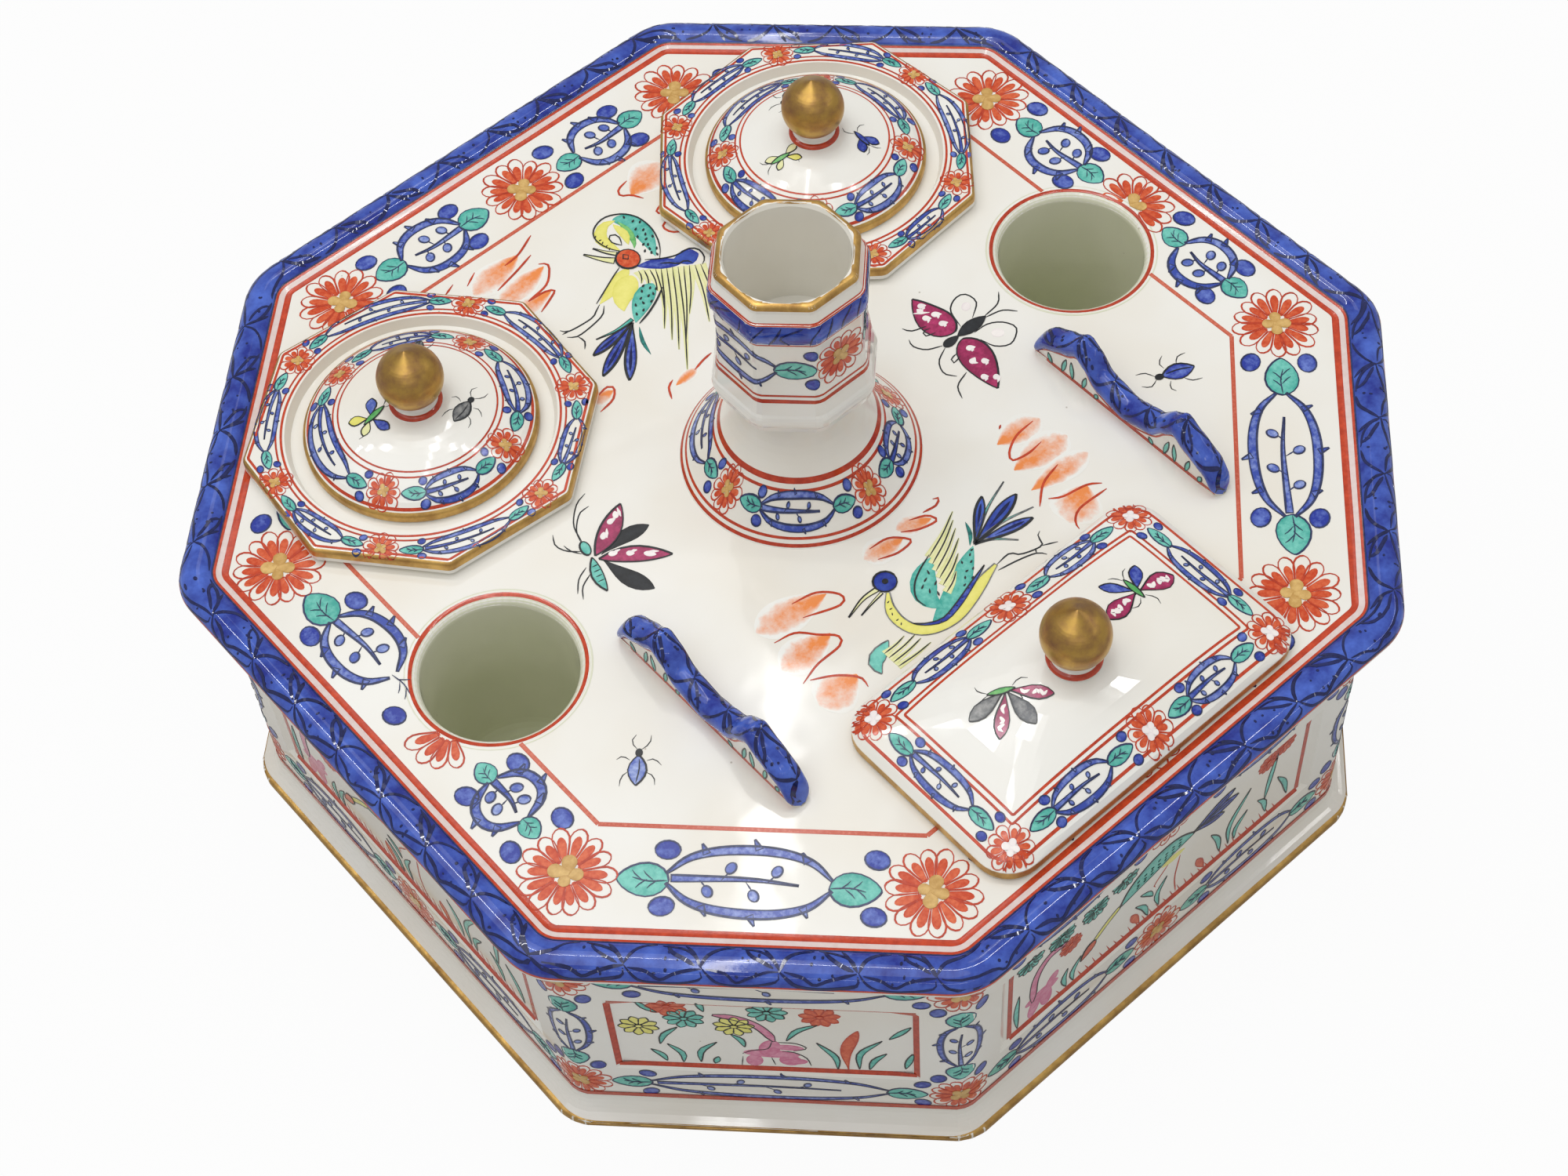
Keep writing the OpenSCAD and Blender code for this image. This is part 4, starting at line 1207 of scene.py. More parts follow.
def running_bird(brush):
    """The long-necked bird that runs with one wing up, in front of the candlestick."""
    brush.stroke("pale_yellow", [(-11.6, -38.6), (-15.5, -38.4), (-20.4, -39.7)], 1.1, "tail", 1,
                 outline="black", line=0.24)
    brush.stroke("pale_yellow", [(-11.8, -39.8), (-15, -40.3), (-18.3, -41)], 0.6, "tail", 1,
                 outline="black", line=0.2)
    brush.stroke("turquoise", [(-9.6, -52), (-5, -50.8), (0, -49), (4.5, -46.4), (9, -43.9)], 4.6,
                 "leaf", 0, columns=2)
    brush.stroke("turquoise", [(-5.4, -50.6), (-6, -46.6), (-3.6, -43), (1, -40.2)], 5.4, "leaf", 1,
                 columns=2)
    brush.stroke("black", [(-7.6, -48), (-7.8, -45.5), (-5.8, -42.8), (-2.8, -41), (1.2, -39.5)],
                 0.36, level=3)
    tips = [(11.8, -35), (10.4, -36.6), (9.4, -38.4), (8.2, -40.6), (5.6, -43.2), (2.4, -46)]
    fan(brush, (0.8, -39.9), (-2.4, -48.4), tips, "pale_yellow", 1.9, 2)
    ticks(brush, [(-5.5, -44.5), (-4, -43.6), (-5, -46.4), (-3, -45.6), (-4, -48), (-2, -43)], 1.2,
          0.4, 40)
    ticks(brush, [(4.5, -45.6), (5.8, -46.5), (6.8, -45.2), (3.6, -47.4), (5, -48), (2.4, -48.6),
                  (1, -49.6), (3.4, -49.4), (7.8, -44.4)], 0.8, 0.4, 30, level=2)
    body = [(-10.9, -40.6), (-13.1, -43.6), (-13.8, -47), (-12.8, -50.6), (-9.8, -53), (-5, -53.9),
            (0, -52.9), (5, -51.2), (9.2, -50.2)]
    brush.stroke("yellow", body, 2.3, "line", 2, columns=2, outline="grey", line=0.24)
    brush.stroke("blue", [(-12.2, -49.4), (-10.2, -51.4), (-7, -52.8), (-2.4, -52), (2.6, -50.4),
                          (7.4, -48.8)], 1.1, "leaf", 4, outline="black", line=0.22)
    ticks(brush, [(-8, -52.7), (-5.6, -52.6), (-3.2, -52.2), (-1, -51.6), (1.4, -50.8)], 0.3, 0.4,
          level=5)
    ticks(brush, [(-12.7, -42.4), (-13.4, -43.8), (-13.9, -45.2), (-14.2, -46.6), (-14.2, -48)],
          0.7, 0.26, 20, level=4)
    brush.stroke("cobalt", [(-12, -38.3), (-7.2, -38.3)], 4.8, "oval", 4, columns=2,
                 outline="black", line=0.34)
    brush.stroke("black", [(-10.2, -38.3), (-8.9, -38.3)], 1.3, "oval", 6)
    for tip, width, pigment in (((18.6, -36.4), 2.0, "cobalt"), ((24, -40.6), 2.8, "cobalt"),
                                ((22.4, -47), 2.2, "blue")):
        tail_feather(brush, (9.6, -43.8), tip, width, pigment)
    for tip in ((24.4, -36.6), (24.4, -45.2), (16.6, -49)):
        brush.stroke("turquoise", [(9.8, -43.6), (Vector((9.8, -43.6)) + Vector(tip)) / 2
                                   + Vector((0, 0.8)), tip], 0.8, "tail", 0, outline="grey",
                     line=0.2)
    brush.stroke("turquoise_dark", [(8.6, -43.4), (10.6, -41.4), (11.9, -38.6)], 0.9, "leaf", 1)
    brush.lines("black", (
        [(9.4, -50.3), (13, -50.1), (14.6, -51.8), (19, -53.1), (20, -51), (21.2, -50.3)],
        [(19, -53.1), (22, -54.6)], [(8.6, -51.5), (13, -52.4), (17, -53.7), (18.3, -55.3)],
        [(17, -53.7), (17.6, -52.7)]), 0.32)
    brush.stroke("turquoise", [(-24.4, -53.6), (-23.4, -50.8), (-18.4, -48.9)], 3.2, "leaf", 0,
                 columns=2, outline="grey", line=0.24)
    fan(brush, (-21, -50.6), (-21, -54.6), [(-15.4, -50.2), (-13.6, -51.4), (-13.4, -52.8),
                                            (-12.6, -54.8)], "pale_yellow", 1.4, 1)


def butterfly(brush):
    """A black-bodied butterfly with two rose wings and two white ones."""
    patches = [((43, 9), (44.6, 8)), ((41.6, 6), (43, 4.6)), ((43.6, 5.4), (45.4, 4)),
               ((43, 2.4), (44.8, 1.4)), ((42.6, 7), (42.4, 8.6)), ((42.6, -6.4), (44.4, -7.4)),
               ((40.6, -10), (42.4, -9.4)), ((42.6, -11), (44, -12)), ((39.6, -14), (41, -15)),
               ((41.6, -15.6), (42.6, -17))]
    for wing in ([(44.2, -1.4), (43, 4), (43.6, 11.2)], [(44, -4), (42.6, -10), (40.2, -18.4)]):
        brush.stroke("rose", wing, 7.2, "seed", 0, columns=2, outline="black", line=0.34)
    for a, b in patches:
        brush.stroke("white", [a, b], 1.5, "seed", 3)
        brush.stroke("white", [(a[0] + 1.2, a[1] - 0.9), (b[0] - 1.4, b[1] - 0.4)], 0.7, "bow", 3)
    brush.lines("black", (
        [(46, -1.2), (47.4, 3.4), (50.4, 5.2), (52.8, 4.6), (53, 1.4), (49.4, -1.2)],
        [(47, -4.4), (50.6, -4.6), (53.4, -6.6), (54.2, -9.6), (50.6, -11.8), (47.6, -10),
         (46.6, -6.6)]), 0.34, 0)
    brush.stroke("white", [(49.6, 1.4), (51.6, 2.6)], 2.0, "oval", 0)
    brush.stroke("white", [(49.4, -7), (51.6, -8.6)], 2.4, "oval", 0)
    brush.stroke("black", [(43.6, -2.7), (51.8, -2.8)], 3.2, "leaf", 4, columns=2)
    brush.stroke("black", [(39.6, -2.8), (44, -2.8)], 2.2, "seed", 4)
    brush.lines("black", (
        [(39.6, -2.4), (36.4, -0.8), (35, 1.8), (35.6, 3.6)],
        [(39.6, -3.2), (36.2, -5), (34.8, -8), (36.2, -10.4)],
        [(38.4, -11), (34.6, -12.4), (33, -15.4)], [(51.6, -2.6), (56, -2), (58.4, 0.2)],
        [(51.6, -3), (55.4, -4), (57.6, -6.4)], [(41, 1.2), (38.8, 2), (39.4, 3.2), (41, 2.8)],
        [(40.8, 3.8), (37.6, 5), (36.6, 6.8)],
        [(40.4, -7), (38.2, -7.4), (38.6, -6.2), (40.6, -6)]), 0.3)


def moth(brush):
    """A turquoise-bodied moth with two rose wings, two black wings and long feelers."""
    brush.stroke("black", [(-2, 1.6), (4, 1.8), (9.6, 0.7)], 3.5, "drop", 0, columns=2)
    brush.stroke("black", [(-2.6, 0.6), (-1.6, -6), (0.6, -12)], 3.9, "drop", 0, columns=2)
    for wing, width in (([(-3, 2.2), (2.6, 4.8), (8.6, 8.6)], 4.4),
                        ([(-3, 1), (2.4, -2.4), (8.4, -8)], 3.8)):
        brush.stroke("rose", wing, width, "leaf", 2, columns=2, outline="black", line=0.34)
    for a, b in (((0.4, 4.2), (1.8, 5.4)), ((3.6, 6.4), (5.2, 6.8)), ((5.8, 6.4), (6.6, 8)),
                 ((-1, 0.6), (0.6, -0.4)), ((1.8, -1.6), (3, -2.8)), ((4.4, -4), (6, -6))):
        brush.stroke("white", [a, b], 1.3, "ovate", 4)
        brush.stroke("white", [(a[0] + 0.9, a[1] - 0.3), (b[0] + 0.9, b[1] + 0.3)], 0.7, "line", 4)
    brush.stroke("turquoise", [(-6.6, -6), (-5.8, -2), (-3.9, 2.2)], 2.4, "leaf", 3,
                 outline="black", line=0.3)
    brush.stroke("turquoise", [(-3.9, 3.2), (-3, 6.6)], 2.0, "oval", 3, outline="black", line=0.3)
    for x, y in ((-5.9, -3.4), (-5.5, -2.2), (-5.1, -1), (-4.6, 0.2)):
        brush.stroke("black", [(x - 0.7, y + 0.2), (x + 0.6, y - 0.1)], 0.22, level=5)
    brush.lines("black", (
        [(-3, 6.4), (-1.6, 11), (2, 14.6), (5, 15.6)],
        [(-3.2, 6.6), (-2, 9.6), (1, 12.4), (3.6, 12.6)],
        [(-4.6, 5), (-6.6, 7), (-7.4, 9.6), (-6.2, 12)], [(-4.8, 4.4), (-6, 6.4), (-6.2, 8.4)],
        [(-6.2, 1.2), (-9, 0), (-11.4, -2.6)], [(-6.6, -0.6), (-9.6, -2), (-11.4, -4.4)]), 0.28)


def beetle(brush, pigment, size=1.0):
    """A beetle seen from above, head to the left."""
    brush = brush.at(0, 0, 0, size)
    brush.stroke(pigment, [(-2.6, 0), (4.6, 0)], 4.0, "leaf", 1, columns=2, outline="black",
                 line=0.3)
    brush.stroke("black", [(-1.6, 0.2), (1, 0.4), (4, 0)], 0.26, level=4)
    brush.stroke("black", [(-4.2, 0), (-2.2, 0)], 1.6, "oval", 3)
    brush.lines("black", (
        [(-4, 0.4), (-5.6, 2), (-7.6, 2.2)], [(-4, -0.4), (-5.8, -1.8), (-7.6, -1)],
        [(-1.4, 1.8), (-1.8, 3.4), (-0.4, 5)], [(1.4, 1.9), (2.4, 3.6), (4.4, 4)],
        [(-1.4, -1.8), (-2.2, -3.4), (-1.4, -4.6)], [(1.4, -1.9), (2.8, -3.2), (5, -3.4)]),
        0.24, 0)


def fly(brush, wings, body="green", size=1.0):
    """A small insect seen from above: pairs of wings, then legs and feelers."""
    brush = brush.at(0, 0, 0, size)
    for angle, long, width, pigment in wings:
        wing = brush.at(0, 0, angle)
        wing.stroke(pigment, [(0.6, 0), (long, 0)], width, "drop", 1, columns=2, outline="black",
                    line=0.22)
        if pigment == "rose":
            for a, b, c in ((0.3, 0.12, 0.5), (0.56, -0.16, 0.7), (0.7, 0.2, 0.86)):
                wing.stroke("white", [(long * a, width * b), (long * (a + 0.09), -width * b * 0.6),
                                      (long * c, width * b * 0.8)], width * 0.26, "ovate", 4)
    brush.stroke(body, [(0, -1.8), (0, 3.6)], 1.3, "leaf", 3, outline="black", line=0.2)
    brush.lines("black", (
        [(-0.2, 3.6), (-1, 5), (-2, 5.6)], [(0.3, 3.6), (1.2, 5), (2.4, 5.4)],
        [(-0.6, -1.4), (-2, -2.6), (-3.6, -2.2)], [(0.6, -1.4), (1.8, -3), (1.4, -4.6)]), 0.2, 0)


class INKSTAND_OT_walls(bpy.types.Operator):
    """Paints the casing's eight sides: garlands, framed panels with flowers, rocks and birds"""
    bl_idname = "inkstand.walls"
    bl_label = "Walls"

    def execute(self, context):
        outline, wall = deck_outline(WALL_OUT), node("casing_wall")
        canvas = Around(outline)
        sides, corners = outline.middles()
        round_trip = []
        for k in range(8):
            side = sides[k] if sides[k] <= corners[k] else sides[k] - outline.length
            if k % 2 == 0:
                round_trip.append(side)
            round_trip.append(corners[k])
        round_trip = sorted(d % outline.length for d in round_trip)
        round_trip.append(round_trip[0] + outline.length)
        for name, height, seed in (("low", 13.4, 21), ("high", 57.0, 22)):
            painting = Painting("wall_%s_enamels" % name, wall, seed=seed)
            if name == "low":
                frame_line(painting, outline, 1.5, canvas=canvas, height=7.4, wander=0.06,
                           level=5)
            garland(Brush(painting, canvas), [(d, height) for d in round_trip], 6.6, 10.4, 8.0,
                    petals=12)
            painting.dry("body")
        painting = Painting("wall_corner_enamels", wall, seed=23)
        brush = Brush(painting, canvas)
        for corner in corners:
            for up in (1, -1):
                leaf(brush.at(corner, PANEL_MIDDLE + up * 11.6, 90 * up), 6.0, 6.4)
                for side in (1, -1):
                    bud(brush.at(corner + side * 4.6, PANEL_MIDDLE + up * 14.6, 60), 3.6, 3.0)
            thorny_oval(brush.at(corner, PANEL_MIDDLE, 90), 17.5, 9.5)
        painting.dry("body")
        for name, first, half, scene, seed in (("bird", 0, 41.2, walking_bird, 24),
                                               ("rock", 1, 29.2, rock_garden, 25)):
            painting = Painting("%s_panel_enamels" % name, wall, seed=seed)
            brush = Brush(painting, canvas)
            for middle_of_side in sides[first::2]:
                panel_frame(brush.at(middle_of_side, 0), half)
                scene(brush.at(middle_of_side, PANEL_LOW))
            painting.dry("body")
        return {"FINISHED"}


def panel_frame(brush, half):
    """A red frame painted just inside a sunk panel."""
    corners = [(-half, PANEL_LOW), (half, PANEL_LOW), (half, PANEL_HIGH), (-half, PANEL_HIGH)]
    for k, corner in enumerate(corners):
        brush.stroke("line", [corner, corners[(k + 1) % 4]], 1.2, "even", columns=2)


def blade(brush, points, width=1.3):
    """A blade of grass."""
    brush.stroke("turquoise", points, width, "leaf", 0, outline="black", line=0.22)


def small_flower(brush, pigment, radius, petals):
    """A small daisy in one enamel, with outlines that are red on a red one."""
    line = "line" if pigment == "petal" else "black"
    for k in range(petals):
        brush.at(0, 0, 360 * k / petals).stroke(pigment, [(0.4, 0), (radius, 0)], radius * 0.5,
                                                "drop", 0, outline=line, line=0.2)
    brush.stroke(pigment, [(-0.7, 0), (0.7, 0)], 1.2, "oval", 2, outline=line, line=0.16)


def rock_garden(brush):
    """A pink rock with a bent trunk, daisies and grass, standing on the panel's frame."""
    trunk = [(1.8, 12), (0.6, 15.4), (-1.6, 19), (-5, 21.6), (-9.4, 22.6)]
    brush.stroke("pink", trunk[::-1], 1.9, "line", 0, outline="black", line=0.22)
    for points, width in (([(-2.6, 0.6), (-2.2, 5.6)], 3.4), ([(4.6, 1.4), (4.6, 6)], 4.4),
                          ([(-4.4, 6.6), (6.6, 6.2)], 3.4), ([(0, 5.4), (1.6, 12.4)], 4.2),
                          ([(1.4, 9.6), (7.4, 9.2)], 2.4), ([(3, 3), (8, 3.4)], 2.6)):
        brush.stroke("pink", points, width, "oval", 0, columns=2)
    brush.lines("black", (
        [(-4.6, 6), (-2.6, 7.6), (0.4, 8.6), (1.4, 12)], [(1, 4.6), (1.6, 1.4)],
        [(3.2, 7.6), (5.4, 7.4), (7.8, 5), (8.6, 1.6)],
        [(2.6, 11.6), (6, 11.4), (8, 9.4), (5.4, 8)], [(-5, 0.6), (-4.6, 4.6)]), 0.24)
    for x, y, pigment in ((-24, 16.6, "yellow"), (-15, 20.6, "turquoise"), (-18, 25.6, "petal"),
                          (1, 24.6, "turquoise"), (11, 23.4, "petal"), (-5.6, 18, "yellow")):
        small_flower(brush.at(x, y, brush.painting.hand.uniform(0, 30)), pigment, 4.0, 9)
    for points in ([(-20.4, 9), (-19.4, 13), (-16.6, 16.6)], [(4.2, 12.6), (6.4, 17), (10.4, 20)],
                   [(-20, 23), (-22, 24.6), (-24, 28)], [(-11, 24), (-11.6, 26.6), (-12, 29)],
                   [(-19.6, 1.4), (-20.4, 4), (-22.4, 6.4)], [(-16.4, 1), (-16.4, 5), (-19, 9)],
                   [(-13, 1.4), (-12.6, 6.4), (-9.4, 10.6)], [(-10.2, 1), (-9.4, 4)],
                   [(-4, 9), (-4.6, 12), (-6.4, 14.4)], [(13.8, 0.6), (13.4, 6), (10, 12)],
                   [(18, 1), (18.4, 8), (22.6, 14)], [(20, 1), (21, 5), (23.4, 8.4)],
                   [(24, 15), (26, 17.6), (28.2, 20.6)], [(27, 2), (27.6, 5), (28.6, 9)]):
        blade(brush, points)
    brush.stroke("petal", [(15.8, 0.8), (15.6, 9), (18, 18)], 2.6, "drop", 0, outline="line",
                 line=0.2)


def walking_bird(brush):
    """A turquoise bird bending down among grass beside a pink rock."""
    for x in range(-28, 36, 2):
        brush.stroke("line", [(x + 0.6, 0.4), (x - 0.4, 2.4 + brush.painting.hand.uniform(0, 1.2))],
                     0.4, "tail", 0)
    brush.stroke("turquoise", [(-11.4, 15.8), (-6, 19.6), (2, 22), (9, 20.8)], 6.6, "leaf", 0,
                 columns=2, outline="black", line=0.34)
    ticks(brush, [(-7 + 1.9 * i, 17.6 + 1.2 * j + 0.5 * i) for i in range(7) for j in range(3)],
          0.8, 0.26, 20)
    brush.stroke("yellow", [(-11, 16.4), (-15, 13.6), (-18.6, 10.2)], 1.5, "line", 0,
                 outline="grey", line=0.22)
    brush.stroke("petal", [(-18, 10.8), (-21.8, 6.6)], 2.8, "seed", 2, outline="black", line=0.24)
    brush.stroke("yellow", [(0, 17.4), (6.6, 17.4)], 2.4, "leaf", 0, columns=2)
    brush.lines("line", ([(2, 16.4), (-1.4, 12.4), (-1.2, 11)], [(5.4, 16), (4.6, 8), (5.4, 1)]),
                0.4, 0)
    for tip, width in (((20, 25), 2.6), ((21.4, 21.4), 2.6), ((17.6, 18.4), 2.2)):
        tail_feather(brush, (8.6, 21.2), tip, width, "blue", 0.3)
    brush.stroke("pink", [(-26, 20.6), (-31, 21), (-34.4, 16), (-35, 7)], 1.9, "line", 0,
                 outline="black", line=0.22)
    for points, width in (([(-35.4, 0.6), (-33.6, 8)], 3.0), ([(-31, 0.8), (-31.6, 9)], 3.4),
                          ([(-37, 7.4), (-28, 8)], 3.4), ([(-31, 8), (-28.4, 12)], 2.6)):
        brush.stroke("pink", points, width, "oval", 0, columns=2)
    for x, y, pigment in ((-36, 25.6, "turquoise"), (-27.6, 24.6, "turquoise"),
                          (-18.6, 24, "turquoise"), (-10.6, 26, "turquoise"), (-25, 18, "petal"),
                          (30, 23.4, "petal"), (34.6, 25.2, "petal")):
        small_flower(brush.at(x, y), pigment, 3.6 if pigment == "turquoise" else 3.0, 12)
    for points in ([(-39, 1), (-39.4, 8), (-38.8, 14.6)], [(-25.6, 1), (-26.4, 5), (-25.4, 8.4)],
                   [(-23.6, 1), (-24, 5), (-21.8, 9)], [(-2.6, 1), (-4, 6), (-6.6, 9.4)],
                   [(0.4, 1.6), (-0.4, 7), (2, 11.6)], [(-1.6, 8), (-3, 10.6), (-5.4, 12.6)],
                   [(18, 2), (17, 8), (14.6, 12.6)], [(20.6, 2), (20.4, 10), (25.4, 18.6)],
                   [(22.4, 2), (22.4, 6), (25.4, 10)], [(31.6, 2), (30.6, 7), (28.4, 10)],
                   [(30.6, 8), (31.4, 16), (32.6, 24)], [(38, 2), (36.6, 8), (34, 13)]):
        blade(brush, points, 1.4)
    for x in (-6.6, 12):
        brush.stroke("petal", [(x + 1.6, 0.8), (x - 1, 7)], 2.0, "drop", 0, outline="line",
                     line=0.2)


class INKSTAND_OT_ink_plates(bpy.types.Operator):
    """Paints and gilds the two inkwell plates"""
    bl_idname = "inkstand.ink_plates"
    bl_label = "Ink plates"

    def execute(self, context):
        for name, side, angles in (("left", -1, (107, 166, 219, 282, 333, 395)),
                                   ("right", 1, (64, 122, 183, 251, 301, 365))):
            plate = node("ink_plate_" + name)
            centre = middle("ink_plate_" + name)
            painting = Painting("ink_plate_%s_enamels" % name, plate, seed=30 + side)
            high = top("ink_plate_" + name)
            painting.lowest = high - 0.8
            frame_line(painting, plate_outline(side), 0.55, inset=1.2, height=high, wander=0.04)
            for radius, width in ((30.0, 0.4), (28.9, 0.5)):
                frame_line(painting, RoundOutline(radius, centre), width, height=high, wander=0.03)
            ring_garland(painting, centre, 31.9, high, angles, 3.7, 4.4, 4.8, 9, 1.15, up=-0.3)
            painting.dry("inkwell_" + name)
            gild_edge("ink_plate_%s_gilding" % name, "inkwell_" + name, plate_outline(side), plate,
                      high, 0.9, high - 2.1, 2.3, 40 + side)
        return {"FINISHED"}


class INKSTAND_OT_round_lids(bpy.types.Operator):
    """Paints and gilds the two round lids"""
    bl_idname = "inkstand.round_lids"
    bl_label = "Round lids"

    def execute(self, context):
        insects = {
            "left": [((6.2, -8), 200, "beetle"), ((-9.3, 3.0), -83, "yellow"),
                     ((8, 12), 30, "beetle")],
            "right": [((-9.4, -0.6), 80, "green"), ((6.6, -7.4), 180, "blue"),
                      ((4, 13), 20, "beetle")]}
        for name, side, angles in (("left", -1, (22, 107, 213, 293)),
                                   ("right", 1, (46, 144.5, 230, 314))):
            cover = node("lid_cover_" + name)
            centre = middle("lid_cover_" + name)
            painting = Painting("round_lid_%s_enamels" % name, cover, seed=50 + side)
            high = top("lid_cover_" + name)
            for radius, width in ((23.2, 0.55), (17.5, 0.36), (16.4, 0.36)):
                frame_line(painting, RoundOutline(radius, centre), width, height=high, wander=0.03)
            ring_garland(painting, centre, 20.4, high, angles, 3.7, 5.2, 5.0, 9, 1.1)
            flat = Brush(painting, Flat((*centre, high)))
            for place, turn, kind in insects[name]:
                spot = flat.at(*place, turn)
                if kind == "beetle":
                    beetle(spot, "grey", 0.8)
                elif kind == "yellow":
                    fly(spot, [(135, 4.8, 2.2, "pale_blue"), (-135, 4.4, 2.2, "yellow"),
                               (-65, 4, 1.8, "pale_yellow"), (5, 4.8, 2.1, "blue")], size=1.05)
                elif kind == "blue":
                    fly(spot, [(60, 5, 2.4, "blue"), (120, 5, 2.4, "blue")], "blue", 0.9)
                else:
                    fly(spot, [(70, 4.6, 2.0, "pale_yellow"), (-70, 4.8, 2.0, "pale_yellow"),
                               (130, 4, 1.7, "pale_yellow"), (-130, 4.4, 1.9, "yellow")], size=0.9)
            neck_line(painting, "lid_knob_" + name, centre)
            painting.dry("ink_lid_" + name)
            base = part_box("lid_cover_" + name)[0].z / MM
            gild_edge("round_lid_%s_gilding" % name, "ink_lid_" + name, RoundOutline(24.4, centre),
                      cover, base + 2.7, 0.8, base + 0.3, 2.7, 60 + side)
        return {"FINISHED"}


class INKSTAND_OT_box_lid(bpy.types.Operator):
    """Paints and gilds the rectangular lid"""
    bl_idname = "inkstand.box_lid"
    bl_label = "Box lid"

    def execute(self, context):
        cover, centre = node("box_lid_cover"), Vector(middle("box_lid_cover"))
        painting = Painting("box_lid_enamels", cover, seed=71)
        low, high = (Vector(c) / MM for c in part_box("box_lid_cover"))
        half_x, half_y = (high.x - low.x) / 2, (high.y - low.y) / 2
        for x, y, radius, width in ((half_x - 1.9, half_y - 1.9, 5.6, 0.6), (31.3, 15.7, 0.5, 0.5),
                                    (30.0, 14.6, 0.4, 0.5)):
            frame_line(painting, Outline(rectangle(x, y), radius, centre), width, height=high.z,
                       wander=0.04)
        brush = Brush(painting, Flat((*centre, high.z)))
        stops = [(1.3, -19), (34.2, -18.6), (34.2, 18.6), (1.3, 19), (-34.2, 18.6), (-34.2, -18.6)]
        garland(brush, stops, 4.6, 5.8, 6.2, True, petals=10, heart="white", bud_size=1.1)
        fly(brush.at(20.2, 3.2, 0), [(-8, 8.4, 4.2, "rose"), (188, 8.8, 4.0, "rose"),
                                     (48, 6.4, 2.6, "blue"), (130, 7, 2.3, "blue")], size=1.05)
        fly(brush.at(-14, 4, 60), [(-110, 9, 3.0, "rose"), (160, 10, 2.9, "rose"),
                                   (-155, 9, 3.4, "grey"), (118, 9, 3.2, "grey")], size=1.0)
        neck_line(painting, "box_lid_knob", centre)
        painting.dry("box_lid")
        gild_edge("box_lid_gilding", "box_lid", Outline(rectangle(half_x, half_y), 7.3, centre),
                  cover, low.z + 3.5, 0.5, low.z + 0.2, 2.4, 72)
        return {"FINISHED"}


class INKSTAND_OT_candlestick(bpy.types.Operator):
    """Paints the candlestick's foot and socket, and gilds its lip and stem"""
    bl_idname = "inkstand.candlestick"
    bl_label = "Candlestick"

    def execute(self, context):
        centre = middle("candle_foot")
        painting = Painting("candlestick_enamels", node("candle_foot"), node("candle_socket"),
                            seed=81)
        for radius, width in ((24.5, 0.5), (23.5, 0.4), (17.4, 0.4), (16.2, 0.7)):
            frame_line(painting, RoundOutline(radius, centre), width, height=DECK, wander=0.03)
        ring_garland(painting, centre, 20.0, DECK, (-178, -88, -14, 84), 3.5, 4.8, 4.8, 10, 1.2)
        half = 15.4
        outline = Outline([(x + centre[0], y + centre[1]) for x, y in
                           octagon(half, half * OCTAGON_CUT)], 3.0)
        canvas = Around(outline)
        side = Brush(painting, canvas)
        for height, width in ((34.9, 0.9), (36.4, 0.5), (51.3, 0.4)):
            frame_line(painting, outline, width, canvas=canvas, height=DECK + height)
        start = outline.middles()[0][0]
        stops = [(start + outline.length * k / 2, DECK + 43.8) for k in range(3)]
        garland(side, stops, 6.3, 10.5, 8.6, petals=11)
        around = stations(outline, 2.5)
        around.append(around[0] + outline.length)
        painting.strip(canvas, [Vector((d, DECK + 54.4)) for d in around],
                       [2.7] * len(around), "cobalt", -0.6, 8)
        hand = painting.hand
        for k in range(26):
            x = outline.length * k / 26
            side.stroke("hatch", [(x, DECK + 52), (x + hand.uniform(-2, 2), DECK + 54.4),
                                  (x + hand.uniform(1, 4), DECK + 56.8)], hand.uniform(0.3, 0.6),
                        level=1)
        frame_line(painting, outline, 0.4, canvas=canvas, height=DECK + 57.4)
        painting.dry("body")
        gilt = Painting("candlestick_gilding", node("candle_foot"), node("candle_socket"), seed=82)
        lip = Outline([(x + centre[0], y + centre[1]) for x, y in
                       octagon(12.7, 12.7 * OCTAGON_CUT)], 2.4)
        frame_line(gilt, lip, 2.1, "gold", wander=0.02, height=0.9, canvas=Around(
            lip, roll_profile(0, top("candle_socket") - 1, 0.9, 1.0, 3), 3))
        stem = RoundOutline(11.2, centre)
        frame_line(gilt, stem, 0.7, "gold", canvas=Around(stem), height=DECK + 24.1, wander=0.02)
        gilt.dry("body")
        return {"FINISHED"}


def rest_crest(share):
    """Height of a pen rest's crest at a share of the way from its middle to its end."""
    peak, dip, shoulder, end = 13.4, 5.9, 8.6, 3.9
    knots = [(0, dip), (0.28, dip + 0.25 * (peak - dip)), (0.42, dip + 0.75 * (peak - dip)),
             (0.52, peak), (0.64, peak - 0.45 * (peak - shoulder)), (0.84, shoulder), (1, end)]
    for (a, low), (b, high) in zip(knots, knots[1:]):
        if share <= b:
            part = (share - a) / (b - a)
            return low + (high - low) * (part + eased(part)) / 2
    return end


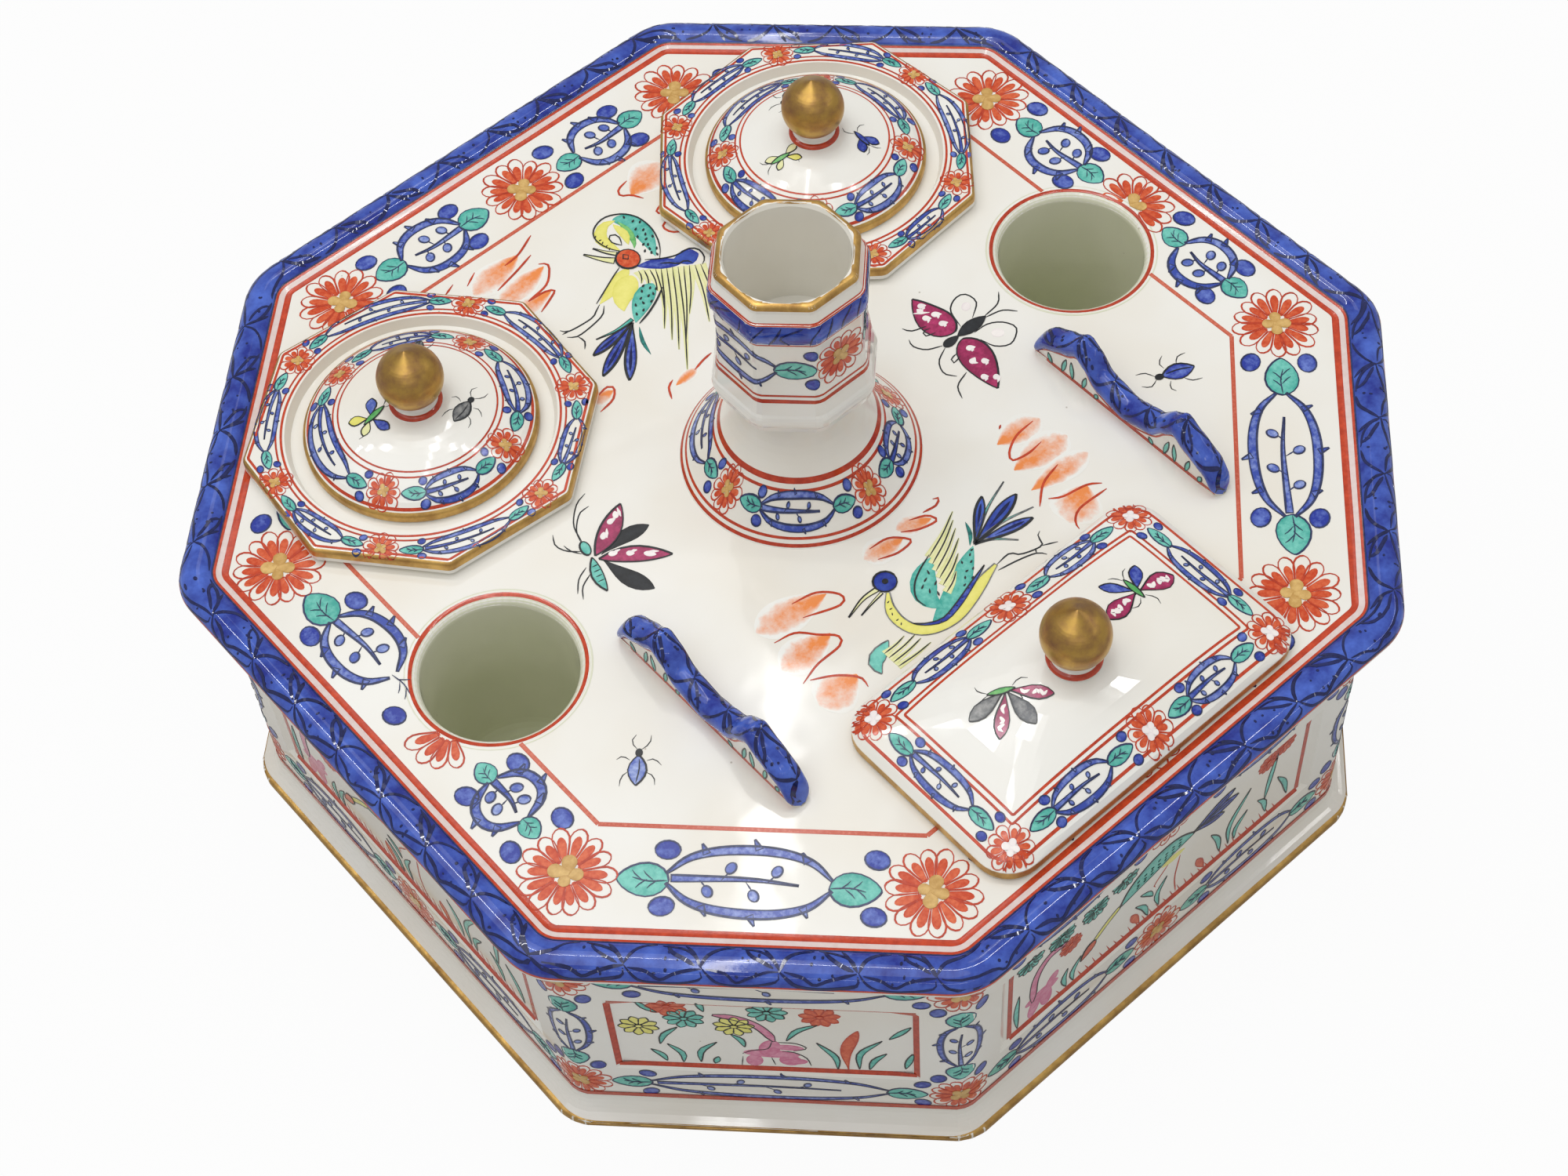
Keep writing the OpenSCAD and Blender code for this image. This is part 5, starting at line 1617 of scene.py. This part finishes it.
class INKSTAND_OT_pen_rests(bpy.types.Operator):
    """Models the two scalloped pen rests, and paints their faces and their blue rolls"""
    bl_idname = "inkstand.pen_rests"
    bl_label = "Pen rests"

    def execute(self, context):
        for name, side in (("left", -1), ("right", 1)):
            low, high = (Vector(c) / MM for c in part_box("pen_rest_" + name))
            x, y, long = (low.x + high.x) / 2, (low.y + high.y) / 2, high.y - low.y
            meet = math.acos(REST_HALF / REST_ROLL)     # where the faces run into the roll

            def place(u, v):
                along = 2 * u - 1
                past = max(0.0, abs(along) - 0.93) / 0.07
                shrink = math.sqrt(max(0.03, 1 - past * past))
                crest = rest_crest(abs(along)) * shrink
                tall = min(REST_ROLL, crest / 2.1)
                if v < 0.2 or v > 0.8:
                    share = min(v, 1 - v) / 0.2
                    out = REST_HALF * (1 if v < 0.2 else -1)
                    return (x + out * shrink, y + along * long / 2,
                            low.z + share * (crest - tall - tall * math.sin(meet)))
                angle = -meet + (v - 0.2) / 0.6 * (math.pi + 2 * meet)
                return (x + REST_ROLL * math.cos(angle) * shrink, y + along * long / 2,
                        low.z + crest - tall + tall * math.sin(angle))

            rest = laid_grid("pen_rest_%s_glazed" % name, 110, 40, place)
            mend(rest, 0.002, close_holes, face_outwards)
            rest.data.materials.append(MATERIALS["glaze"])
            rest.data.materials.append(MATERIALS["cobalt"])
            layer = rest.data.uv_layers["UVMap"]
            for face in rest.data.polygons:
                v = sum(layer.data[i].uv.y for i in face.loop_indices) / face.loop_total
                face.material_index = 1 if 0.19 < v < 0.81 and face.loop_total == 4 else 0
            finish_piece(rest, "body", 50)
            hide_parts("pen_rest_" + name)
            painting = Painting("pen_rest_%s_enamels" % name, rest, seed=90 + side)
            for face in (1, -1):
                rest_face(Brush(painting, Flat((x, y, low.z), (0, face, 0), (0, 0, 1), reach=12)),
                          long / 2)
            scales(Brush(painting, RestRoll(x, y, low.z, long / 2)), -long / 2 + 2, long / 2 - 2,
                   -3.8, 3.8, 9.0)
            painting.dry("body")
        return {"FINISHED"}


class RestRoll:
    """A canvas over the roll of a pen rest: across runs along it, up runs over it."""
    fine, reach = 1.2, 4

    def __init__(self, x, y, base, half_long):
        self.x, self.y, self.base, self.half = x, y, base, half_long

    def ray(self, across, up):
        crest = rest_crest(min(1.0, abs(across) / self.half))
        angle = math.pi / 2 + up / REST_ROLL
        way = Vector((math.cos(angle), 0, math.sin(angle)))
        core = Vector((self.x, self.y + across, self.base + max(0.4, crest - REST_ROLL)))
        return (core + way * (REST_ROLL + self.reach)) * MM, -way


def rest_face(brush, half):
    """Turquoise leaf strokes on a rest's white face, with a red line along its foot."""
    brush.stroke("line", [(-half + 1, 0.7), (half - 1, 0.7)], 1.0, "even", step=2)
    shares = (0.3, 0.42, 0.52, 0.6, 0.7, 0.84, 0.97)
    edge = [(u * half, rest_crest(abs(u)) - 5.0)
            for u in (*[-u for u in reversed(shares)], 0, *shares)]
    brush.stroke("line", [(x, max(0.6, y)) for x, y in edge], 0.42, "line")
    for centre in (-0.55, 0.55):
        for x, lean, tall in ((-6, -1.2, 3.6), (-3, 1, 5.4), (0, -0.6, 5.8), (3, 0.8, 4.6),
                              (6.4, 0.8, 2.6)):
            foot = centre * half + x
            room = rest_crest(min(1, abs((foot + lean) / half))) - 5.6
            if room > 1:
                blade(brush, [(foot, 0.8), (foot + lean * 0.4, min(tall, room) * 0.5),
                              (foot + lean, min(tall, room))], 1.1)


# ---------------------------------------------------------------- the stage

LAMP_AIM = (0, 0, 0.05)         # metres: a point inside the casing
LAMPS = (       # name, place in metres, width, height, watts, and turn about its aim in degrees
    ("key", (-0.3, 0.1, 1.15), 1.0, 1.0, 3.6, 0),
    ("haze", (0.26, 0.54, 1.25), 0.35, 0.5, 0.6, 0),
    ("first_strip", (0.08, 0.225, 1.15), 1.5, 0.02, 3.0, -27.5),
    ("second_strip", (-0.12, 0.04, 1.2), 1.5, 0.02, 1.2, -27.5),
    ("front_strip", (-0.75, -0.95, 0.95), 1.3, 0.02, 0.8, 0),
    ("right_strip", (0.95, -0.75, 0.8), 1.3, 0.02, 0.8, 0))


def soft_box(name, place, wide, high, power, turn):
    """A rectangular studio light that looks at the object."""
    lamp = bpy.data.lights.new(name, "AREA")
    lamp.shape, lamp.size, lamp.size_y, lamp.energy = "RECTANGLE", wide, high, power
    light = bpy.data.objects.new(name, lamp)
    bpy.context.scene.collection.objects.link(light)
    light.location = place
    way = (Vector(LAMP_AIM) - Vector(place)).to_track_quat("-Z", "Y")
    light.rotation_euler = (way @ Quaternion((0, 0, 1), math.radians(turn))).to_euler()


def white_for_camera(tree, light_strength, output):
    """A world that lights softly but shows as plain white behind the object."""
    path = add_node(tree, "ShaderNodeLightPath")
    seen = add_node(tree, "ShaderNodeMath", {"operation": "MAXIMUM"}, {
        0: path.outputs["Is Camera Ray"], 1: path.outputs["Is Transmission Ray"]})
    dim = add_node(tree, "ShaderNodeBackground", links={
        "Color": (1.0, 0.99, 0.975, 1), "Strength": light_strength})
    white = add_node(tree, "ShaderNodeBackground", links={"Color": (1, 1, 1, 1), "Strength": 1.0})
    both = add_node(tree, "ShaderNodeMixShader", links={
        0: seen.outputs[0], 1: dim.outputs[0], 2: white.outputs[0]})
    tree.links.new(both.outputs[0], output)


class INKSTAND_OT_stage(bpy.types.Operator):
    """Sets the camera, the pale floor and the soft studio light"""
    bl_idname = "inkstand.stage"
    bl_label = "Stage"

    def execute(self, context):
        scene, sizes = context.scene, context.scene.inkstand_sizes
        scene.view_settings.view_transform = "Standard"
        lens = bpy.data.cameras.new("Camera")
        camera = bpy.data.objects.new("Camera", lens)
        scene.collection.objects.link(camera)
        scene.camera = camera
        azimuth, elevation, roll = (math.radians(a) for a in CAMERA_ANGLES)
        back = Vector((math.sin(azimuth) * math.cos(elevation),
                       -math.cos(azimuth) * math.cos(elevation), math.sin(elevation)))
        right = (-back).cross(Vector((0, 0, 1))).normalized()
        up = back.cross(right)
        across = right * math.cos(roll) + up * math.sin(roll)
        rise = up * math.cos(roll) - right * math.sin(roll)
        axes = Matrix((across, rise, back)).transposed().to_4x4()
        camera.matrix_world = Matrix.Translation(sizes.camera) @ axes
        lens.sensor_width = 36.0
        lens.lens = FOCAL_PIXELS / IMAGE_WIDTH * lens.sensor_width
        lens.shift_x = (IMAGE_WIDTH / 2 - VIEW_CENTRE[0]) / IMAGE_WIDTH
        lens.shift_y = (VIEW_CENTRE[1] - IMAGE_HEIGHT / 2) / IMAGE_WIDTH
        lens.clip_start = 0.01

        deselect()
        bpy.ops.mesh.primitive_grid_add(x_subdivisions=8, y_subdivisions=8, size=6)
        floor = context.object
        floor.name = "floor"
        # matt paper that the camera sees nearly white, so that only a faint shadow shows
        paper, tree, shader, output = blank_material("Matt white paper", {
            "Base Color": (0.64, 0.64, 0.63, 1), "Roughness": 0.9})
        path = add_node(tree, "ShaderNodeLightPath")
        glow = add_node(tree, "ShaderNodeEmission", links={"Color": (1, 1, 1, 1), "Strength": 1.0})
        share = add_node(tree, "ShaderNodeMath", {"operation": "MULTIPLY"}, {
            0: path.outputs["Is Camera Ray"], 1: 0.95})
        both = add_node(tree, "ShaderNodeMixShader", links={
            0: share.outputs[0], 1: shader.outputs[0], 2: glow.outputs[0]})
        tree.links.new(both.outputs[0], output.inputs["Surface"])
        floor.data.materials.append(paper)

        world = bpy.data.worlds.new("Studio")
        world.use_nodes = True
        scene.world = world
        world.node_tree.nodes.clear()
        output = add_node(world.node_tree, "ShaderNodeOutputWorld")
        white_for_camera(world.node_tree, 0.47, output.inputs["Surface"])
        for lamp in LAMPS:
            soft_box(*lamp)
        return {"FINISHED"}


# ---------------------------------------------------------------- run

PIECES = (INKSTAND_OT_glaze, INKSTAND_OT_foot, INKSTAND_OT_walls, INKSTAND_OT_rim, INKSTAND_OT_deck,
          INKSTAND_OT_ink_plates, INKSTAND_OT_round_lids, INKSTAND_OT_box_lid,
          INKSTAND_OT_candlestick, INKSTAND_OT_pen_rests, INKSTAND_OT_stage)


class INKSTAND_PT_panel(bpy.types.Panel):
    """Lists the pieces of the inkstand"""
    bl_label = "Inkstand"
    bl_idname = "INKSTAND_PT_panel"
    bl_space_type = "VIEW_3D"
    bl_region_type = "UI"
    bl_category = "Inkstand"

    def draw(self, context):
        for group in (context.scene.inkstand_sizes, context.scene.inkstand_colours):
            box = self.layout.box()
            for name in type(group).__annotations__:
                box.prop(group, name)
        for piece in PIECES:
            self.layout.operator(piece.bl_idname)


CLASSES = (InkstandColours, InkstandSizes, *PIECES, INKSTAND_PT_panel)


def register():
    for each in CLASSES:
        bpy.utils.register_class(each)
    bpy.types.Scene.inkstand_colours = bpy.props.PointerProperty(type=InkstandColours)
    bpy.types.Scene.inkstand_sizes = bpy.props.PointerProperty(type=InkstandSizes)


def unregister():
    del bpy.types.Scene.inkstand_sizes
    del bpy.types.Scene.inkstand_colours
    for each in reversed(CLASSES):
        bpy.utils.unregister_class(each)


def main():
    register()
    deselect()
    for piece in PIECES:
        group, name = piece.bl_idname.split(".")
        getattr(getattr(bpy.ops, group), name)()


if __name__ == "__main__":
    main()
